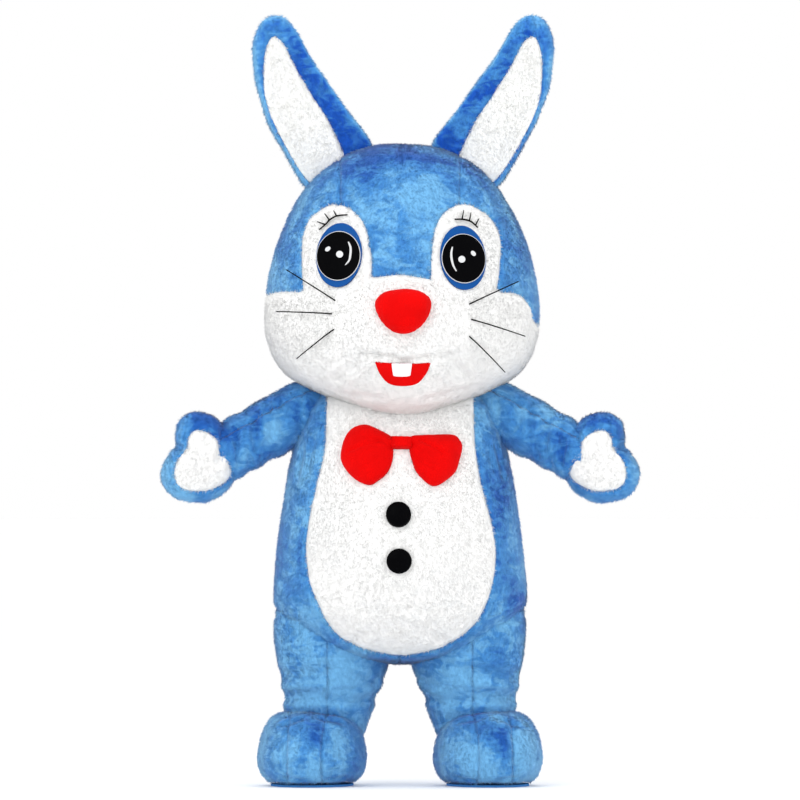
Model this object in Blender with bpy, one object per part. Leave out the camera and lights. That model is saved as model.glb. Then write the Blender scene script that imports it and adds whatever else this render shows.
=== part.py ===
"""A full-body rabbit costume in plush, filled out and standing on its soles.

Each panel that a maker would cut is one object: a wall of plush of even thickness, trimmed
where it meets its neighbour with a seam gap. Lengths are metres, Z is up, and the rabbit
looks along -Y. Left and right are the wearer's, so left is +X.
"""

import math
from collections import namedtuple

import bmesh
import bpy
import numpy as np
from mathutils import Matrix, Vector
from mathutils.bvhtree import BVHTree

# Cloth and seams
PLUSH = 0.008
SEAM = 0.0003
SHARP_EDGE = math.radians(40)
FAR = 3.0
ROOM = 1.0

# Mesh density
CURVE_STEPS = 16
BODY_COLUMNS = 22
TRUNK_ROWS = 13
HEAD_ROWS = 15
LIMB_COLUMNS = 10
LIMB_ROWS = 12
FOOT_ROWS = 9
FOOT_COLUMNS = 14
MITT_POINTS = 16
PALM_POINTS = 12
EAR_POINTS = 16
LINING_POINTS = 13
PAD_POINTS = 12

Ring = namedtuple("Ring", "height centre half_width front back")
Layer = namedtuple("Layer", "scale depth")
Crease = namedtuple("Crease", "start end depth width")

# The middle of the whole suit's depth lies this far behind the middle of the trunk
STANCE = Vector((0.0, 0.0661, 0.0))

# The trunk, from the crotch up to the closed top that the neck hole is cut from
TRUNK_RINGS = (
    Ring(0.404, 0.0, 0.000, 0.000, 0.000),
    Ring(0.410, 0.0, 0.120, 0.118, 0.115),
    Ring(0.432, 0.0, 0.234, 0.226, 0.210),
    Ring(0.480, 0.0, 0.330, 0.303, 0.275),
    Ring(0.555, 0.0, 0.387, 0.350, 0.314),
    Ring(0.650, 0.0, 0.430, 0.376, 0.336),
    Ring(0.800, 0.0, 0.420, 0.378, 0.333),
    Ring(0.950, 0.0, 0.400, 0.355, 0.322),
    Ring(1.090, 0.0, 0.376, 0.318, 0.305),
    Ring(1.210, 0.0, 0.352, 0.276, 0.282),
    Ring(1.300, 0.0, 0.318, 0.226, 0.245),
    Ring(1.350, 0.0, 0.240, 0.160, 0.180),
    Ring(1.370, 0.0, 0.120, 0.080, 0.090),
    Ring(1.374, 0.0, 0.000, 0.000, 0.000),
)

# The head, from the closed underside inside the trunk up to the crown
HEAD_RINGS = (
    Ring(1.196, 0.007, 0.000, 0.000, 0.000),
    Ring(1.206, 0.007, 0.070, 0.110, 0.110),
    Ring(1.244, 0.007, 0.135, 0.245, 0.205),
    Ring(1.290, 0.007, 0.228, 0.345, 0.290),
    Ring(1.335, 0.007, 0.318, 0.398, 0.345),
    Ring(1.385, 0.007, 0.392, 0.430, 0.385),
    Ring(1.450, 0.007, 0.440, 0.448, 0.415),
    Ring(1.540, 0.007, 0.466, 0.452, 0.434),
    Ring(1.650, 0.007, 0.464, 0.443, 0.438),
    Ring(1.760, 0.007, 0.446, 0.418, 0.426),
    Ring(1.870, 0.007, 0.411, 0.382, 0.396),
    Ring(1.970, 0.007, 0.362, 0.335, 0.348),
    Ring(2.060, 0.007, 0.296, 0.275, 0.284),
    Ring(2.130, 0.007, 0.200, 0.190, 0.195),
    Ring(2.163, 0.007, 0.100, 0.096, 0.098),
    Ring(2.172, 0.007, 0.000, 0.000, 0.000),
)

# One leg, from inside the foot up to inside the trunk; centre is measured outwards
LEG_RINGS = (
    Ring(0.120, 0.265, 0.000, 0.000, 0.000),
    Ring(0.125, 0.265, 0.105, 0.105, 0.105),
    Ring(0.165, 0.260, 0.137, 0.146, 0.150),
    Ring(0.230, 0.246, 0.148, 0.160, 0.162),
    Ring(0.268, 0.241, 0.157, 0.173, 0.175),
    Ring(0.298, 0.238, 0.156, 0.172, 0.174),
    Ring(0.335, 0.232, 0.173, 0.193, 0.191),
    Ring(0.368, 0.227, 0.178, 0.194, 0.194),
    Ring(0.430, 0.224, 0.197, 0.214, 0.208),
    Ring(0.520, 0.231, 0.202, 0.210, 0.205),
    Ring(0.600, 0.237, 0.184, 0.188, 0.186),
    Ring(0.650, 0.240, 0.000, 0.000, 0.000),
)

# One foot cover, from below the floor, where it is cut flat, up to the instep
FOOT_RINGS = (
    Ring(-0.040, 0.0, 0.000, 0.000, 0.000),
    Ring(-0.030, 0.0, 0.098, 0.160, 0.150),
    Ring(0.006, 0.0, 0.142, 0.224, 0.208),
    Ring(0.038, 0.0, 0.173, 0.260, 0.236),
    Ring(0.085, 0.0, 0.187, 0.275, 0.246),
    Ring(0.135, 0.0, 0.182, 0.264, 0.240),
    Ring(0.200, 0.0, 0.162, 0.216, 0.222),
    Ring(0.248, 0.0, 0.116, 0.130, 0.180),
    Ring(0.268, 0.0, 0.000, 0.000, 0.000),
)
FOOT_PLACE = Vector((0.296, -0.060, 0.0))
FOOT_TURN = math.radians(6)
SOLE_THICKNESS = 0.008
TOE_SEAMS = (-0.062, 0.062)

# One sleeve: height runs down the arm from the shoulder point
SLEEVE_RINGS = (
    Ring(-0.130, 0.0, 0.000, 0.000, 0.000),
    Ring(-0.112, 0.0, 0.072, 0.072, 0.072),
    Ring(-0.040, 0.0, 0.101, 0.108, 0.108),
    Ring(0.040, 0.0, 0.103, 0.110, 0.110),
    Ring(0.115, 0.0, 0.106, 0.110, 0.110),
    Ring(0.165, 0.0, 0.100, 0.103, 0.103),
    Ring(0.210, 0.0, 0.105, 0.107, 0.107),
    Ring(0.248, 0.0, 0.100, 0.099, 0.099),
    Ring(0.285, 0.0, 0.105, 0.100, 0.100),
    Ring(0.340, 0.0, 0.096, 0.084, 0.084),
    Ring(0.392, 0.0, 0.062, 0.052, 0.052),
    Ring(0.405, 0.0, 0.000, 0.000, 0.000),
)
SHOULDER = Vector((0.346, 0.0, 1.258))
ARM_DROP = math.radians(28)
ARM_REACH = math.radians(12)
SLEEVE_SEAM_TURN = math.radians(-36)

# One mitt, as seen from the front on the wearer's left: across, up
MITT_PLACE = Vector((0.670, -0.078, 1.100))
MITT_OUTLINE = (
    (0.014, 0.166), (0.052, 0.159), (0.083, 0.132), (0.093, 0.090), (0.093, 0.050),
    (0.120, 0.028), (0.141, -0.014), (0.142, -0.059), (0.125, -0.104), (0.087, -0.135),
    (0.038, -0.149), (-0.014, -0.149), (-0.066, -0.125), (-0.108, -0.088), (-0.124, -0.035),
    (-0.116, 0.040), (-0.094, 0.100), (-0.066, 0.138), (-0.028, 0.159),
)
MITT_FRONT = (
    Layer(0.92, -0.036), Layer(0.72, -0.066), Layer(0.38, -0.081), Layer(0.0, -0.085),
)
MITT_BACK = (
    Layer(0.94, 0.032), Layer(0.78, 0.060), Layer(0.45, 0.082), Layer(0.0, 0.090),
)
PALM_OUTLINE = (
    (0.021, 0.102), (-0.017, 0.097), (-0.052, 0.073), (-0.075, 0.036), (-0.102, -0.010),
    (-0.108, -0.050), (-0.076, -0.085), (-0.018, -0.109), (0.051, -0.106), (0.088, -0.079),
    (0.094, -0.031), (0.078, 0.008), (0.050, 0.042), (0.045, 0.075),
)

# One ear in its own plane: across from the centre line, up from the base on the crown
EAR_OUTLINE = (
    (0.000, -0.090), (0.100, -0.075), (0.140, -0.015), (0.157, 0.105), (0.169, 0.230),
    (0.163, 0.345), (0.134, 0.448), (0.106, 0.510), (0.052, 0.562), (0.000, 0.565),
    (-0.032, 0.538), (-0.050, 0.480), (-0.061, 0.385), (-0.085, 0.280), (-0.115, 0.140),
    (-0.140, 0.015), (-0.100, -0.070),
)
EAR_CENTRE = (0.030, 0.230)
EAR_FRONT = (
    Layer(0.93, -0.030), Layer(0.78, -0.034), Layer(0.42, -0.016), Layer(0.0, -0.012),
)
EAR_BACK = (
    Layer(0.92, 0.028), Layer(0.60, 0.058), Layer(0.0, 0.068),
)
EAR_LINING_OUTLINE = (
    (0.020, -0.110), (0.085, -0.060), (0.122, 0.010), (0.146, 0.140), (0.146, 0.285),
    (0.117, 0.385), (0.078, 0.460), (0.036, 0.494), (0.014, 0.455), (0.008, 0.375),
    (-0.008, 0.261), (-0.028, 0.148), (-0.032, 0.032), (-0.024, -0.070),
)
EAR_LEAN = {"left": math.radians(24), "right": math.radians(22.8)}
EAR_PLACE = {
    "left": Vector((0.221, 0.010, 2.094)),
    "right": Vector((-0.208, 0.010, 2.089)),
}
EAR_TURN = math.radians(8)

# Outlines on the front, as across and up in metres
BELLY_OUTLINE = (
    (0.000, 0.438), (0.068, 0.446), (0.149, 0.468), (0.216, 0.509), (0.264, 0.554),
    (0.294, 0.612), (0.315, 0.680), (0.326, 0.755), (0.325, 0.830), (0.308, 0.915),
    (0.277, 1.030), (0.258, 1.150), (0.250, 1.420), (-0.250, 1.420), (-0.257, 1.150),
    (-0.283, 1.030), (-0.309, 0.915), (-0.321, 0.815), (-0.315, 0.725), (-0.301, 0.665),
    (-0.276, 0.609), (-0.250, 0.554), (-0.208, 0.505), (-0.152, 0.470), (-0.071, 0.446),
)
BELLY_CORNERS = (12, 13)
FACE_OUTLINE = (
    (0.600, 1.100), (0.600, 1.500), (0.470, 1.555), (0.446, 1.615), (0.405, 1.658),
    (0.326, 1.664), (0.338, 1.721), (0.345, 1.826), (0.331, 1.883), (0.294, 1.931),
    (0.223, 1.964), (0.159, 1.941), (0.122, 1.883), (0.108, 1.789), (0.106, 1.707),
    (0.003, 1.724), (-0.098, 1.714), (-0.098, 1.789), (-0.118, 1.883), (-0.162, 1.941),
    (-0.230, 1.964), (-0.298, 1.927), (-0.325, 1.883), (-0.338, 1.809), (-0.331, 1.663),
    (-0.436, 1.663), (-0.600, 1.600), (-0.600, 1.100),
)
FACE_CORNERS = (0, 1, 5, 14, 16, 24, 26, 27)
FACE_BACK_EDGE = 0.060
CROWN_SEAM = 0.205

# The muzzle bulge and the line under the upper lip
MUZZLE_PLACE = (0.0, 1.540)
MUZZLE_SPREAD = (0.250, 0.130)
MUZZLE_DEPTH = 0.070
LIP_LINE = (
    Crease((-0.150, -0.50, 1.452), (0.0, -0.52, 1.424), 0.022, 0.034),
    Crease((0.0, -0.52, 1.424), (0.150, -0.50, 1.452), 0.022, 0.034),
)

# Folds of a limb, each along a line through its surface
CREASE_SPREAD = (0.5, 0.5, 1.0)
SLEEVE_FOLDS = (
    Crease((-0.02, -0.12, 0.248), (0.10, -0.02, 0.255), 0.010, 0.024),
    Crease((-0.05, -0.11, 0.165), (0.09, -0.08, 0.175), 0.007, 0.026),
    Crease((-0.10, -0.05, 0.250), (-0.06, 0.10, 0.245), 0.009, 0.024),
)
LEG_FOLDS = (
    Crease((0.05, -0.20, 0.368), (0.30, -0.22, 0.366), 0.008, 0.024),
    Crease((0.14, -0.20, 0.298), (0.40, -0.12, 0.296), 0.008, 0.022),
    Crease((0.40, 0.05, 0.368), (0.20, 0.22, 0.372), 0.008, 0.024),
)

# Face pieces: outline across and up
NOSE_OUTLINE = (
    (0.000, 0.077), (0.050, 0.068), (0.085, 0.044), (0.095, 0.014), (0.078, -0.030),
    (0.044, -0.062), (0.002, -0.076), (-0.040, -0.064), (-0.076, -0.030), (-0.094, 0.014),
    (-0.082, 0.044), (-0.048, 0.070),
)
NOSE_PLACE = (0.010, 1.598)
NOSE_LAYERS = (
    Layer(1.0, 0.018), Layer(0.92, 0.036), Layer(0.70, 0.056), Layer(0.38, 0.066),
    Layer(0.0, 0.069),
)
MOUTH_OUTLINE = (
    (-0.092, 0.034), (-0.045, 0.030), (0.000, 0.028), (0.045, 0.028), (0.092, 0.032),
    (0.076, -0.004), (0.046, -0.036), (0.000, -0.044), (-0.046, -0.036), (-0.076, -0.004),
)
MOUTH_CORNERS = (0, 4)
MOUTH_PLACE = (0.010, 1.393)
TOOTH_OUTLINE = (
    (-0.034, 0.018), (0.034, 0.018), (0.025, -0.017), (-0.025, -0.017),
)
TOOTH_CORNERS = (0, 1, 2, 3)
TOOTH_PLACE = (0.006, 1.400)
FELT = 0.003
PAD_SINK = 0.004
PLATE_RINGS = (1.0, 0.6, 0.0)
IRIS_SIZE = (0.075, 0.107)
PUPIL_SIZE = (0.070, 0.080)
PUPIL_DROP = 0.004
EYE_PLATE = 0.003
EYE_LEAN = math.radians(7)
EYE_PLACE = {"left": (0.211, 1.778), "right": (-0.204, 1.787)}

# Whiskers: root and tip, as across and up, and how far the tip stands off the cheek
Whisker = namedtuple("Whisker", "side root tip stand_off")
WHISKERS = (
    Whisker("left", (0.233, 1.623), (0.406, 1.707), 0.030),
    Whisker("left", (0.240, 1.572), (0.424, 1.512), 0.040),
    Whisker("left", (0.233, 1.515), (0.352, 1.392), 0.040),
    Whisker("right", (-0.218, 1.635), (-0.390, 1.749), 0.030),
    Whisker("right", (-0.230, 1.591), (-0.425, 1.599), 0.030),
    Whisker("right", (-0.223, 1.538), (-0.350, 1.434), 0.030),
)
WHISKER_RADIUS = 0.0018
WHISKER_POINTS = 5
WHISKER_SIDES = 4

# The bow and the buttons on the belly
BOW_WING_OUTLINE = {
    "left": (
        (0.027, 0.020), (0.065, 0.026), (0.106, 0.028), (0.171, 0.027), (0.192, 0.010),
        (0.201, -0.014), (0.192, -0.058), (0.176, -0.101), (0.130, -0.137),
        (0.096, -0.139), (0.052, -0.098), (0.036, -0.059), (0.027, -0.022),
    ),
    "right": (
        (-0.027, 0.018), (-0.080, 0.048), (-0.120, 0.061), (-0.160, 0.050),
        (-0.187, 0.018), (-0.201, -0.037), (-0.194, -0.074), (-0.160, -0.117),
        (-0.110, -0.139), (-0.076, -0.122), (-0.050, -0.100), (-0.032, -0.064),
        (-0.027, -0.020),
    ),
}
BOW_PLACE = (0.005, 1.156)
BOW_LAYERS = (
    Layer(1.0, 0.008), Layer(0.88, 0.024), Layer(0.62, 0.036), Layer(0.30, 0.038),
    Layer(0.0, 0.036),
)
KNOT_OUTLINE = (
    (-0.024, 0.021), (0.024, 0.020), (0.025, -0.020), (-0.025, -0.019),
)
KNOT_LAYERS = (
    Layer(1.0, 0.014), Layer(0.72, 0.028), Layer(0.35, 0.032), Layer(0.0, 0.033),
)
BUTTON_RADIUS = 0.0425
BUTTON_PLACES = {"upper": (-0.005, 0.918), "lower": (-0.003, 0.762)}
BUTTON_LAYERS = (
    Layer(1.0, 0.006), Layer(0.93, 0.014), Layer(0.68, 0.021), Layer(0.35, 0.024),
    Layer(0.0, 0.025),
)

# The back zip, closed, with its slider at the top
ZIP_TOP = 1.180
ZIP_BOTTOM = 0.600
ZIP_ROWS = 9
ZIP_SLOT = 0.012
TAPE_WIDTH = 0.018
TAPE = 0.0012
CHAIN_HALF = 0.0035
CHAIN_RISE = 0.0030
SLIDER_SIZE = (0.014, 0.0040, 0.024)
SLIDER_SINK = 0.002
SLIDER_HEIGHT = 1.150
LUG_SIZE = (0.0020, 0.0075, 0.0080)
LUG_SPREAD = 0.0050
PIN_RADIUS = 0.0012
PIN_RISE = 0.0052
EYE_RADIUS = 0.0030
EYE_BORE = 0.0017
PULL_SIZE = (0.0070, 0.0020, 0.0400)
PULL_WIDTH_AT_PIN = 0.0065

COLOURS = {
    "blue_plush": (0.12, 0.38, 0.86, 1.0),
    "white_plush": (0.90, 0.90, 0.89, 1.0),
    "red_fleece": (0.85, 0.01, 0.01, 1.0),
    "black_plastic": (0.012, 0.012, 0.014, 1.0),
    "blue_plate": (0.02, 0.18, 0.62, 1.0),
    "white_felt": (0.86, 0.86, 0.88, 1.0),
    "whisker_nylon": (0.015, 0.015, 0.015, 1.0),
    "sole_rubber": (0.05, 0.09, 0.20, 1.0),
    "zip_tape": (0.05, 0.20, 0.55, 1.0),
    "zip_metal": (0.55, 0.56, 0.58, 1.0),
}
SHINE = {"black_plastic": 0.25, "blue_plate": 0.35, "zip_metal": 0.3}

SIDES = {"left": 1.0, "right": -1.0}


def make_material(name):
    """One Principled material of that name, in the costume's colour."""
    material = bpy.data.materials.get(name)
    if material is None:
        material = bpy.data.materials.new(name)
        material.use_nodes = True
        shader = material.node_tree.nodes["Principled BSDF"]
        shader.inputs["Base Color"].default_value = COLOURS[name]
        shader.inputs["Roughness"].default_value = SHINE.get(name, 0.9)
        shader.inputs["Metallic"].default_value = 1.0 if name == "zip_metal" else 0.0
        material.diffuse_color = COLOURS[name]
    return material


def through(points, steps, closed=False):
    """Points on a smooth curve through the given ones, with so many steps between two."""
    given = np.array(points, float)
    count = len(given)
    spans = count if closed else count - 1
    places = np.arange(spans * steps + (0 if closed else 1)) / steps
    found = []
    for place in places:
        first = min(int(place), spans - 1)
        share = place - first
        near = [first - 1, first, first + 1, first + 2]
        if closed:
            before, start, end, after = (given[i % count] for i in near)
        else:
            before, start, end, after = (given[min(max(i, 0), count - 1)] for i in near)
        slope_in = (end - before) / 2
        slope_out = (after - start) / 2
        found.append(
            (2 * share**3 - 3 * share**2 + 1) * start
            + (share**3 - 2 * share**2 + share) * slope_in
            + (3 * share**2 - 2 * share**3) * end
            + (share**3 - share**2) * slope_out
        )
    return np.array(found)


def even_outline(points, count):
    """A closed smooth curve through the points, as that many evenly spaced ones."""
    fine = through(points, CURVE_STEPS, closed=True)
    loop = np.vstack([fine, fine[:1]])
    run = np.concatenate([[0], np.cumsum(np.linalg.norm(np.diff(loop, axis=0), axis=1))])
    marks = np.linspace(0, run[-1], count, endpoint=False)
    return np.column_stack([np.interp(marks, run, loop[:, i]) for i in range(2)])


def cornered_outline(points, corners, steps=2):
    """A closed outline that is smooth between its corners and sharp at them."""
    count = len(points)
    pieces = []
    for number, corner in enumerate(corners):
        following = corners[(number + 1) % len(corners)]
        length = (following - corner) % count or count
        stretch = [points[(corner + i) % count] for i in range(length + 1)]
        pieces.append(through(stretch, steps if length > 1 else 1)[:-1])
    return np.vstack(pieces)


def mesh_object(name, points, faces, collection):
    """An object from points and faces, with its normals pointing outwards."""
    mesh = bpy.data.meshes.new(name)
    mesh.from_pydata([tuple(p) for p in points], [], faces)
    built = bmesh.new()
    built.from_mesh(mesh)
    bmesh.ops.recalc_face_normals(built, faces=built.faces)
    built.to_mesh(mesh)
    built.free()
    shape = bpy.data.objects.new(name, mesh)
    collection.objects.link(shape)
    return shape


def triangulate(mesh):
    """Cuts the mesh's faces into triangles, so that its copies are cut the same way."""
    built = bmesh.new()
    built.from_mesh(mesh)
    bmesh.ops.triangulate(built, faces=built.faces)
    built.to_mesh(mesh)
    built.free()


def stacked(loops, first_pole, last_pole):
    """Points and faces of a closed form from equal loops and a pole at each end."""
    columns = len(loops[0])
    points = [first_pole, *[p for loop in loops for p in loop], last_pole]
    faces = [(0, 1 + (i + 1) % columns, 1 + i) for i in range(columns)]
    for row in range(len(loops) - 1):
        low = 1 + row * columns
        high = low + columns
        faces += [
            (low + i, low + (i + 1) % columns, high + (i + 1) % columns, high + i)
            for i in range(columns)
        ]
    top = 1 + (len(loops) - 1) * columns
    end = len(points) - 1
    faces += [(end, top + i, top + (i + 1) % columns) for i in range(columns)]
    return points, faces


def lofted(rings, columns, count):
    """Points and faces of a closed form through a table of rings, in so many rows."""
    fine = through(rings, CURVE_STEPS)
    places = np.linspace(0, len(fine) - 1, count)
    rows = [
        [np.interp(place, np.arange(len(fine)), fine[:, i]) for i in range(5)]
        for place in places
    ]
    angles = 2 * math.pi * np.arange(columns) / columns
    loops = []
    for height, centre, half_width, front, back in rows[1:-1]:
        depth = np.where(np.sin(angles) < 0, front, back)
        across = centre + half_width * np.cos(angles)
        along = depth * np.sin(angles)
        loops.append([(x, y, height) for x, y in zip(across, along)])
    poles = [(row[1], 0.0, row[0]) for row in (rows[0], rows[-1])]
    return stacked(loops, *poles)


def puffed(outline, front, back, centre=(0.0, 0.0)):
    """Points and faces of a closed form that swells forwards and back from an outline."""
    middle = np.array(centre)

    def loop(layer):
        flat = middle + layer.scale * (outline - middle)
        return [(x, layer.depth, z) for x, z in flat]

    loops = [loop(layer) for layer in reversed(front[:-1])]
    loops += [loop(Layer(1.0, 0.0))]
    loops += [loop(layer) for layer in back[:-1]]
    poles = [(middle[0], layers[-1].depth, middle[1]) for layers in (front, back)]
    return stacked(loops, *poles)


def pressed(points, creases):
    """The points with each crease pushed in, along a line towards the form's own axis."""
    moved = np.array(points, float)
    middle = moved[:, :2].mean(axis=0)
    for crease in creases:
        start, end = np.array(crease.start), np.array(crease.end)
        along = end - start
        share = np.clip(((moved - start) @ along) / (along @ along), 0, 1)
        nearest = start + share[:, None] * along
        away = np.linalg.norm((moved - nearest) * CREASE_SPREAD, axis=1)
        push = crease.depth * np.exp(-((away / crease.width) ** 2))
        inward = np.zeros_like(moved)
        inward[:, :2] = middle - moved[:, :2]
        length = np.linalg.norm(inward, axis=1)
        length[length == 0] = 1.0
        moved += inward / length[:, None] * push[:, None]
    return moved


def grown(shape, distance, name, collection):
    """A copy of a closed form with each point moved along its normal."""
    copy = bpy.data.objects.new(name, shape.data.copy())
    collection.objects.link(copy)
    mesh = copy.data
    normals = [v.normal.copy() for v in mesh.vertices]
    for vertex, normal in zip(mesh.vertices, normals):
        vertex.co += normal * distance
    copy.matrix_world = shape.matrix_world.copy()
    return copy


def prism(name, outline, near, far, collection):
    """An outline in the XZ plane as a bar along Y, from near to far."""
    count = len(outline)
    points = [(x, y, z) for y in (near, far) for x, z in outline]
    faces = [tuple(range(count)), tuple(range(2 * count - 1, count - 1, -1))]
    faces += [(i, i + count, (i + 1) % count + count, (i + 1) % count) for i in range(count)]
    return mesh_object(name, points, faces, collection)


def block(name, low, high, collection):
    """A box between two corners."""
    size = Vector(high) - Vector(low)
    middle = (Vector(high) + Vector(low)) / 2
    mesh = bpy.data.meshes.new(name)
    built = bmesh.new()
    bmesh.ops.create_cube(built, size=1.0)
    bmesh.ops.scale(built, vec=size, verts=built.verts)
    bmesh.ops.translate(built, vec=middle, verts=built.verts)
    built.to_mesh(mesh)
    built.free()
    shape = bpy.data.objects.new(name, mesh)
    collection.objects.link(shape)
    return shape


class Form:
    """A closed form with the three volumes that its panels are cut with.

    outer is its surface, bore is the hollow inside the plush, and clear is outer with a
    seam's gap round it, which trims the neighbours that are sewn to it.
    """

    def __init__(self, name, points, faces, cutters, place=None):
        self.name = name
        self.cutters = cutters
        self.outer = mesh_object(name + "_outer", points, faces, cutters)
        if place is not None:
            self.outer.data.transform(place)
            if place.determinant() < 0:
                self.outer.data.flip_normals()
        triangulate(self.outer.data)
        self.bore = grown(self.outer, -PLUSH, name + "_bore", cutters)
        self.clear = grown(self.outer, SEAM, name + "_clear", cutters)
        self.tree = None

    def surface(self):
        """The outer surface, ready for rays."""
        if self.tree is None:
            mesh = self.outer.data
            corners = [v.co for v in mesh.vertices]
            self.tree = BVHTree.FromPolygons(corners, [p.vertices for p in mesh.polygons])
        return self.tree


def add_boolean(shape, operation, cutter):
    """One live Boolean modifier."""
    modifier = shape.modifiers.new(cutter.name, "BOOLEAN")
    modifier.operation = operation
    modifier.solver = "EXACT"
    modifier.object = cutter


def cut_panel(name, form, suit, material, keep=(), drop=()):
    """One panel of a form's plush wall, inside all of keep and outside all of drop."""
    panel = bpy.data.objects.new(name, form.outer.data.copy())
    panel.data.name = name
    panel.data.materials.append(make_material(material))
    suit.objects.link(panel)
    for volume in keep:
        add_boolean(panel, "INTERSECT", volume)
    for volume in (form.bore, *drop):
        add_boolean(panel, "DIFFERENCE", volume)
    return panel


def thickened(name, points, faces, normals, lifts, thicknesses, collection):
    """A closed solid over an open surface: its base is lifted, its top is thicker still."""
    base = points + normals * np.array(lifts)[:, None]
    top = base + normals * np.array(thicknesses)[:, None]
    count = len(points)
    solid = [tuple(i + count for i in face) for face in faces]
    solid += [tuple(reversed(face)) for face in faces]
    edges = {}
    for face in faces:
        for first, second in zip(face, face[1:] + face[:1]):
            edges[(first, second)] = True
    rim = [edge for edge in edges if (edge[1], edge[0]) not in edges]
    solid += [(a, b, b + count, a + count) for a, b in rim]
    return mesh_object(name, np.vstack([base, top]), solid, collection)


def on_surface(surface, flat, towards):
    """Where points across and up meet the surface from the front or back, with normals."""
    points, normals = [], []
    start = -FAR if towards > 0 else FAR
    for across, up in flat:
        hit, normal, _, _ = surface.ray_cast(
            Vector((across, start, up)), Vector((0, towards, 0))
        )
        points.append(hit)
        normals.append(normal if normal.y * towards < 0 else -normal)
    return np.array(points), np.array(normals)


def pad_on(name, form, outline, centre, layers, suit, material, under=None, level=False):
    """A pad that lies on a form's front, or on the pad under it, with a swelling top."""
    outline = np.array(outline)
    middle = outline.mean(axis=0)
    rings = [middle + layer.scale * (outline - middle) for layer in layers[:-1]]
    flat = np.vstack([*rings, [middle]]) + np.array(centre)
    points, normals = on_surface(form.surface(), flat, 1.0)
    if level:
        normals[:] = normals.mean(axis=0)
        normals /= np.linalg.norm(normals[0])
    count = len(outline)
    faces = []
    for row in range(len(rings) - 1):
        out, inn = row * count, (row + 1) * count
        faces += [
            (out + i, out + (i + 1) % count, inn + (i + 1) % count, inn + i)
            for i in range(count)
        ]
    last = (len(rings) - 1) * count
    pole = len(flat) - 1
    faces += [(last + i, last + (i + 1) % count, pole) for i in range(count)]
    heights = [layer.depth for layer in layers[:-1] for _ in range(count)]
    heights.append(layers[-1].depth)
    sunk = -PAD_SINK if under is None else FELT / 2
    lifts = np.full(len(flat), sunk)
    heights = np.array(heights) - sunk
    pad = thickened(name, points, faces, normals, lifts, heights, suit)
    triangulate(pad.data)
    pad.data.materials.append(make_material(material))
    if under is not None:
        base = grown(under, SEAM, name + "_base", form.cutters)
        add_boolean(pad, "DIFFERENCE", base)
    add_boolean(pad, "DIFFERENCE", form.clear)
    return pad


def strip_on(name, form, edges, rows, lift, thickness, suit, material):
    """A strip up a form's back between two edges, at a lift from its surface."""
    heights = np.linspace(ZIP_BOTTOM, ZIP_TOP, rows)
    flat = [(x, z) for z in heights for x in edges]
    points, normals = on_surface(form.surface(), flat, -1.0)
    normals[:, 0] = 0.0
    normals /= np.linalg.norm(normals, axis=1)[:, None]
    faces = [(2 * i, 2 * i + 1, 2 * i + 3, 2 * i + 2) for i in range(rows - 1)]
    lifts = np.full(len(flat), lift)
    heights = np.full(len(flat), thickness)
    strip = thickened(name, points, faces, normals, lifts, heights, suit)
    strip.data.materials.append(make_material(material))
    return strip


def side_place(side, place):
    """The placing matrix of a piece that is drawn for the wearer's left."""
    mirror = Matrix.Scale(SIDES[side], 4, (1, 0, 0))
    return mirror @ place


def make_forms(cutters):
    """Every closed form of the suit, by name."""
    forms = {}
    forms["trunk"] = Form("trunk", *lofted(TRUNK_RINGS, BODY_COLUMNS, TRUNK_ROWS), cutters)

    points, faces = lofted(HEAD_RINGS, BODY_COLUMNS, HEAD_ROWS)
    points = np.array(points)
    across = (points[:, 0] - MUZZLE_PLACE[0]) / MUZZLE_SPREAD[0]
    up = (points[:, 2] - MUZZLE_PLACE[1]) / MUZZLE_SPREAD[1]
    bulge = MUZZLE_DEPTH * np.exp(-(across**2) - up**2)
    points[:, 1] -= np.where(points[:, 1] < 0, bulge, 0.0)
    forms["head"] = Form("head", pressed(points, LIP_LINE), faces, cutters)

    for side in SIDES:
        sleeve, faces = lofted(SLEEVE_RINGS, LIMB_COLUMNS, LIMB_ROWS)
        down_arm = Matrix.Rotation(math.pi / 2 + ARM_DROP, 4, "Y")
        reach = Matrix.Rotation(-ARM_REACH, 4, "Z")
        place = side_place(side, Matrix.Translation(SHOULDER) @ reach @ down_arm)
        points = pressed(sleeve, SLEEVE_FOLDS)
        forms["sleeve_" + side] = Form("sleeve_" + side, points, faces, cutters, place)

        outline = even_outline(MITT_OUTLINE, MITT_POINTS)
        mitt = puffed(outline, MITT_FRONT, MITT_BACK)
        place = side_place(side, Matrix.Translation(MITT_PLACE))
        forms["mitt_" + side] = Form("mitt_" + side, *mitt, cutters, place)

        leg, faces = lofted(LEG_RINGS, LIMB_COLUMNS, LIMB_ROWS)
        place = side_place(side, Matrix.Identity(4))
        points = pressed(leg, LEG_FOLDS)
        forms["leg_" + side] = Form("leg_" + side, points, faces, cutters, place)

        foot = lofted(FOOT_RINGS, FOOT_COLUMNS, FOOT_ROWS)
        forms["foot_" + side] = Form("foot_" + side, *foot, cutters, foot_place(side))

        outline = even_outline(EAR_OUTLINE, EAR_POINTS)
        ear = puffed(outline, EAR_FRONT, EAR_BACK, EAR_CENTRE)
        forms["ear_" + side] = Form("ear_" + side, *ear, cutters, ear_place(side))
    return forms


def foot_place(side):
    """Where a foot stands, with its toe turned out."""
    turn = Matrix.Rotation(FOOT_TURN, 4, "Z")
    return side_place(side, Matrix.Translation(FOOT_PLACE) @ turn)


def ear_place(side):
    """Where an ear stands: leaning out, and turned a little outwards."""
    lean = Matrix.Rotation(SIDES[side] * EAR_LEAN[side], 4, "Y")
    turn = Matrix.Rotation(-SIDES[side] * EAR_TURN, 4, "Z")
    mirror = Matrix.Scale(SIDES[side], 4, (1, 0, 0))
    return Matrix.Translation(EAR_PLACE[side]) @ turn @ lean @ mirror


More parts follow.
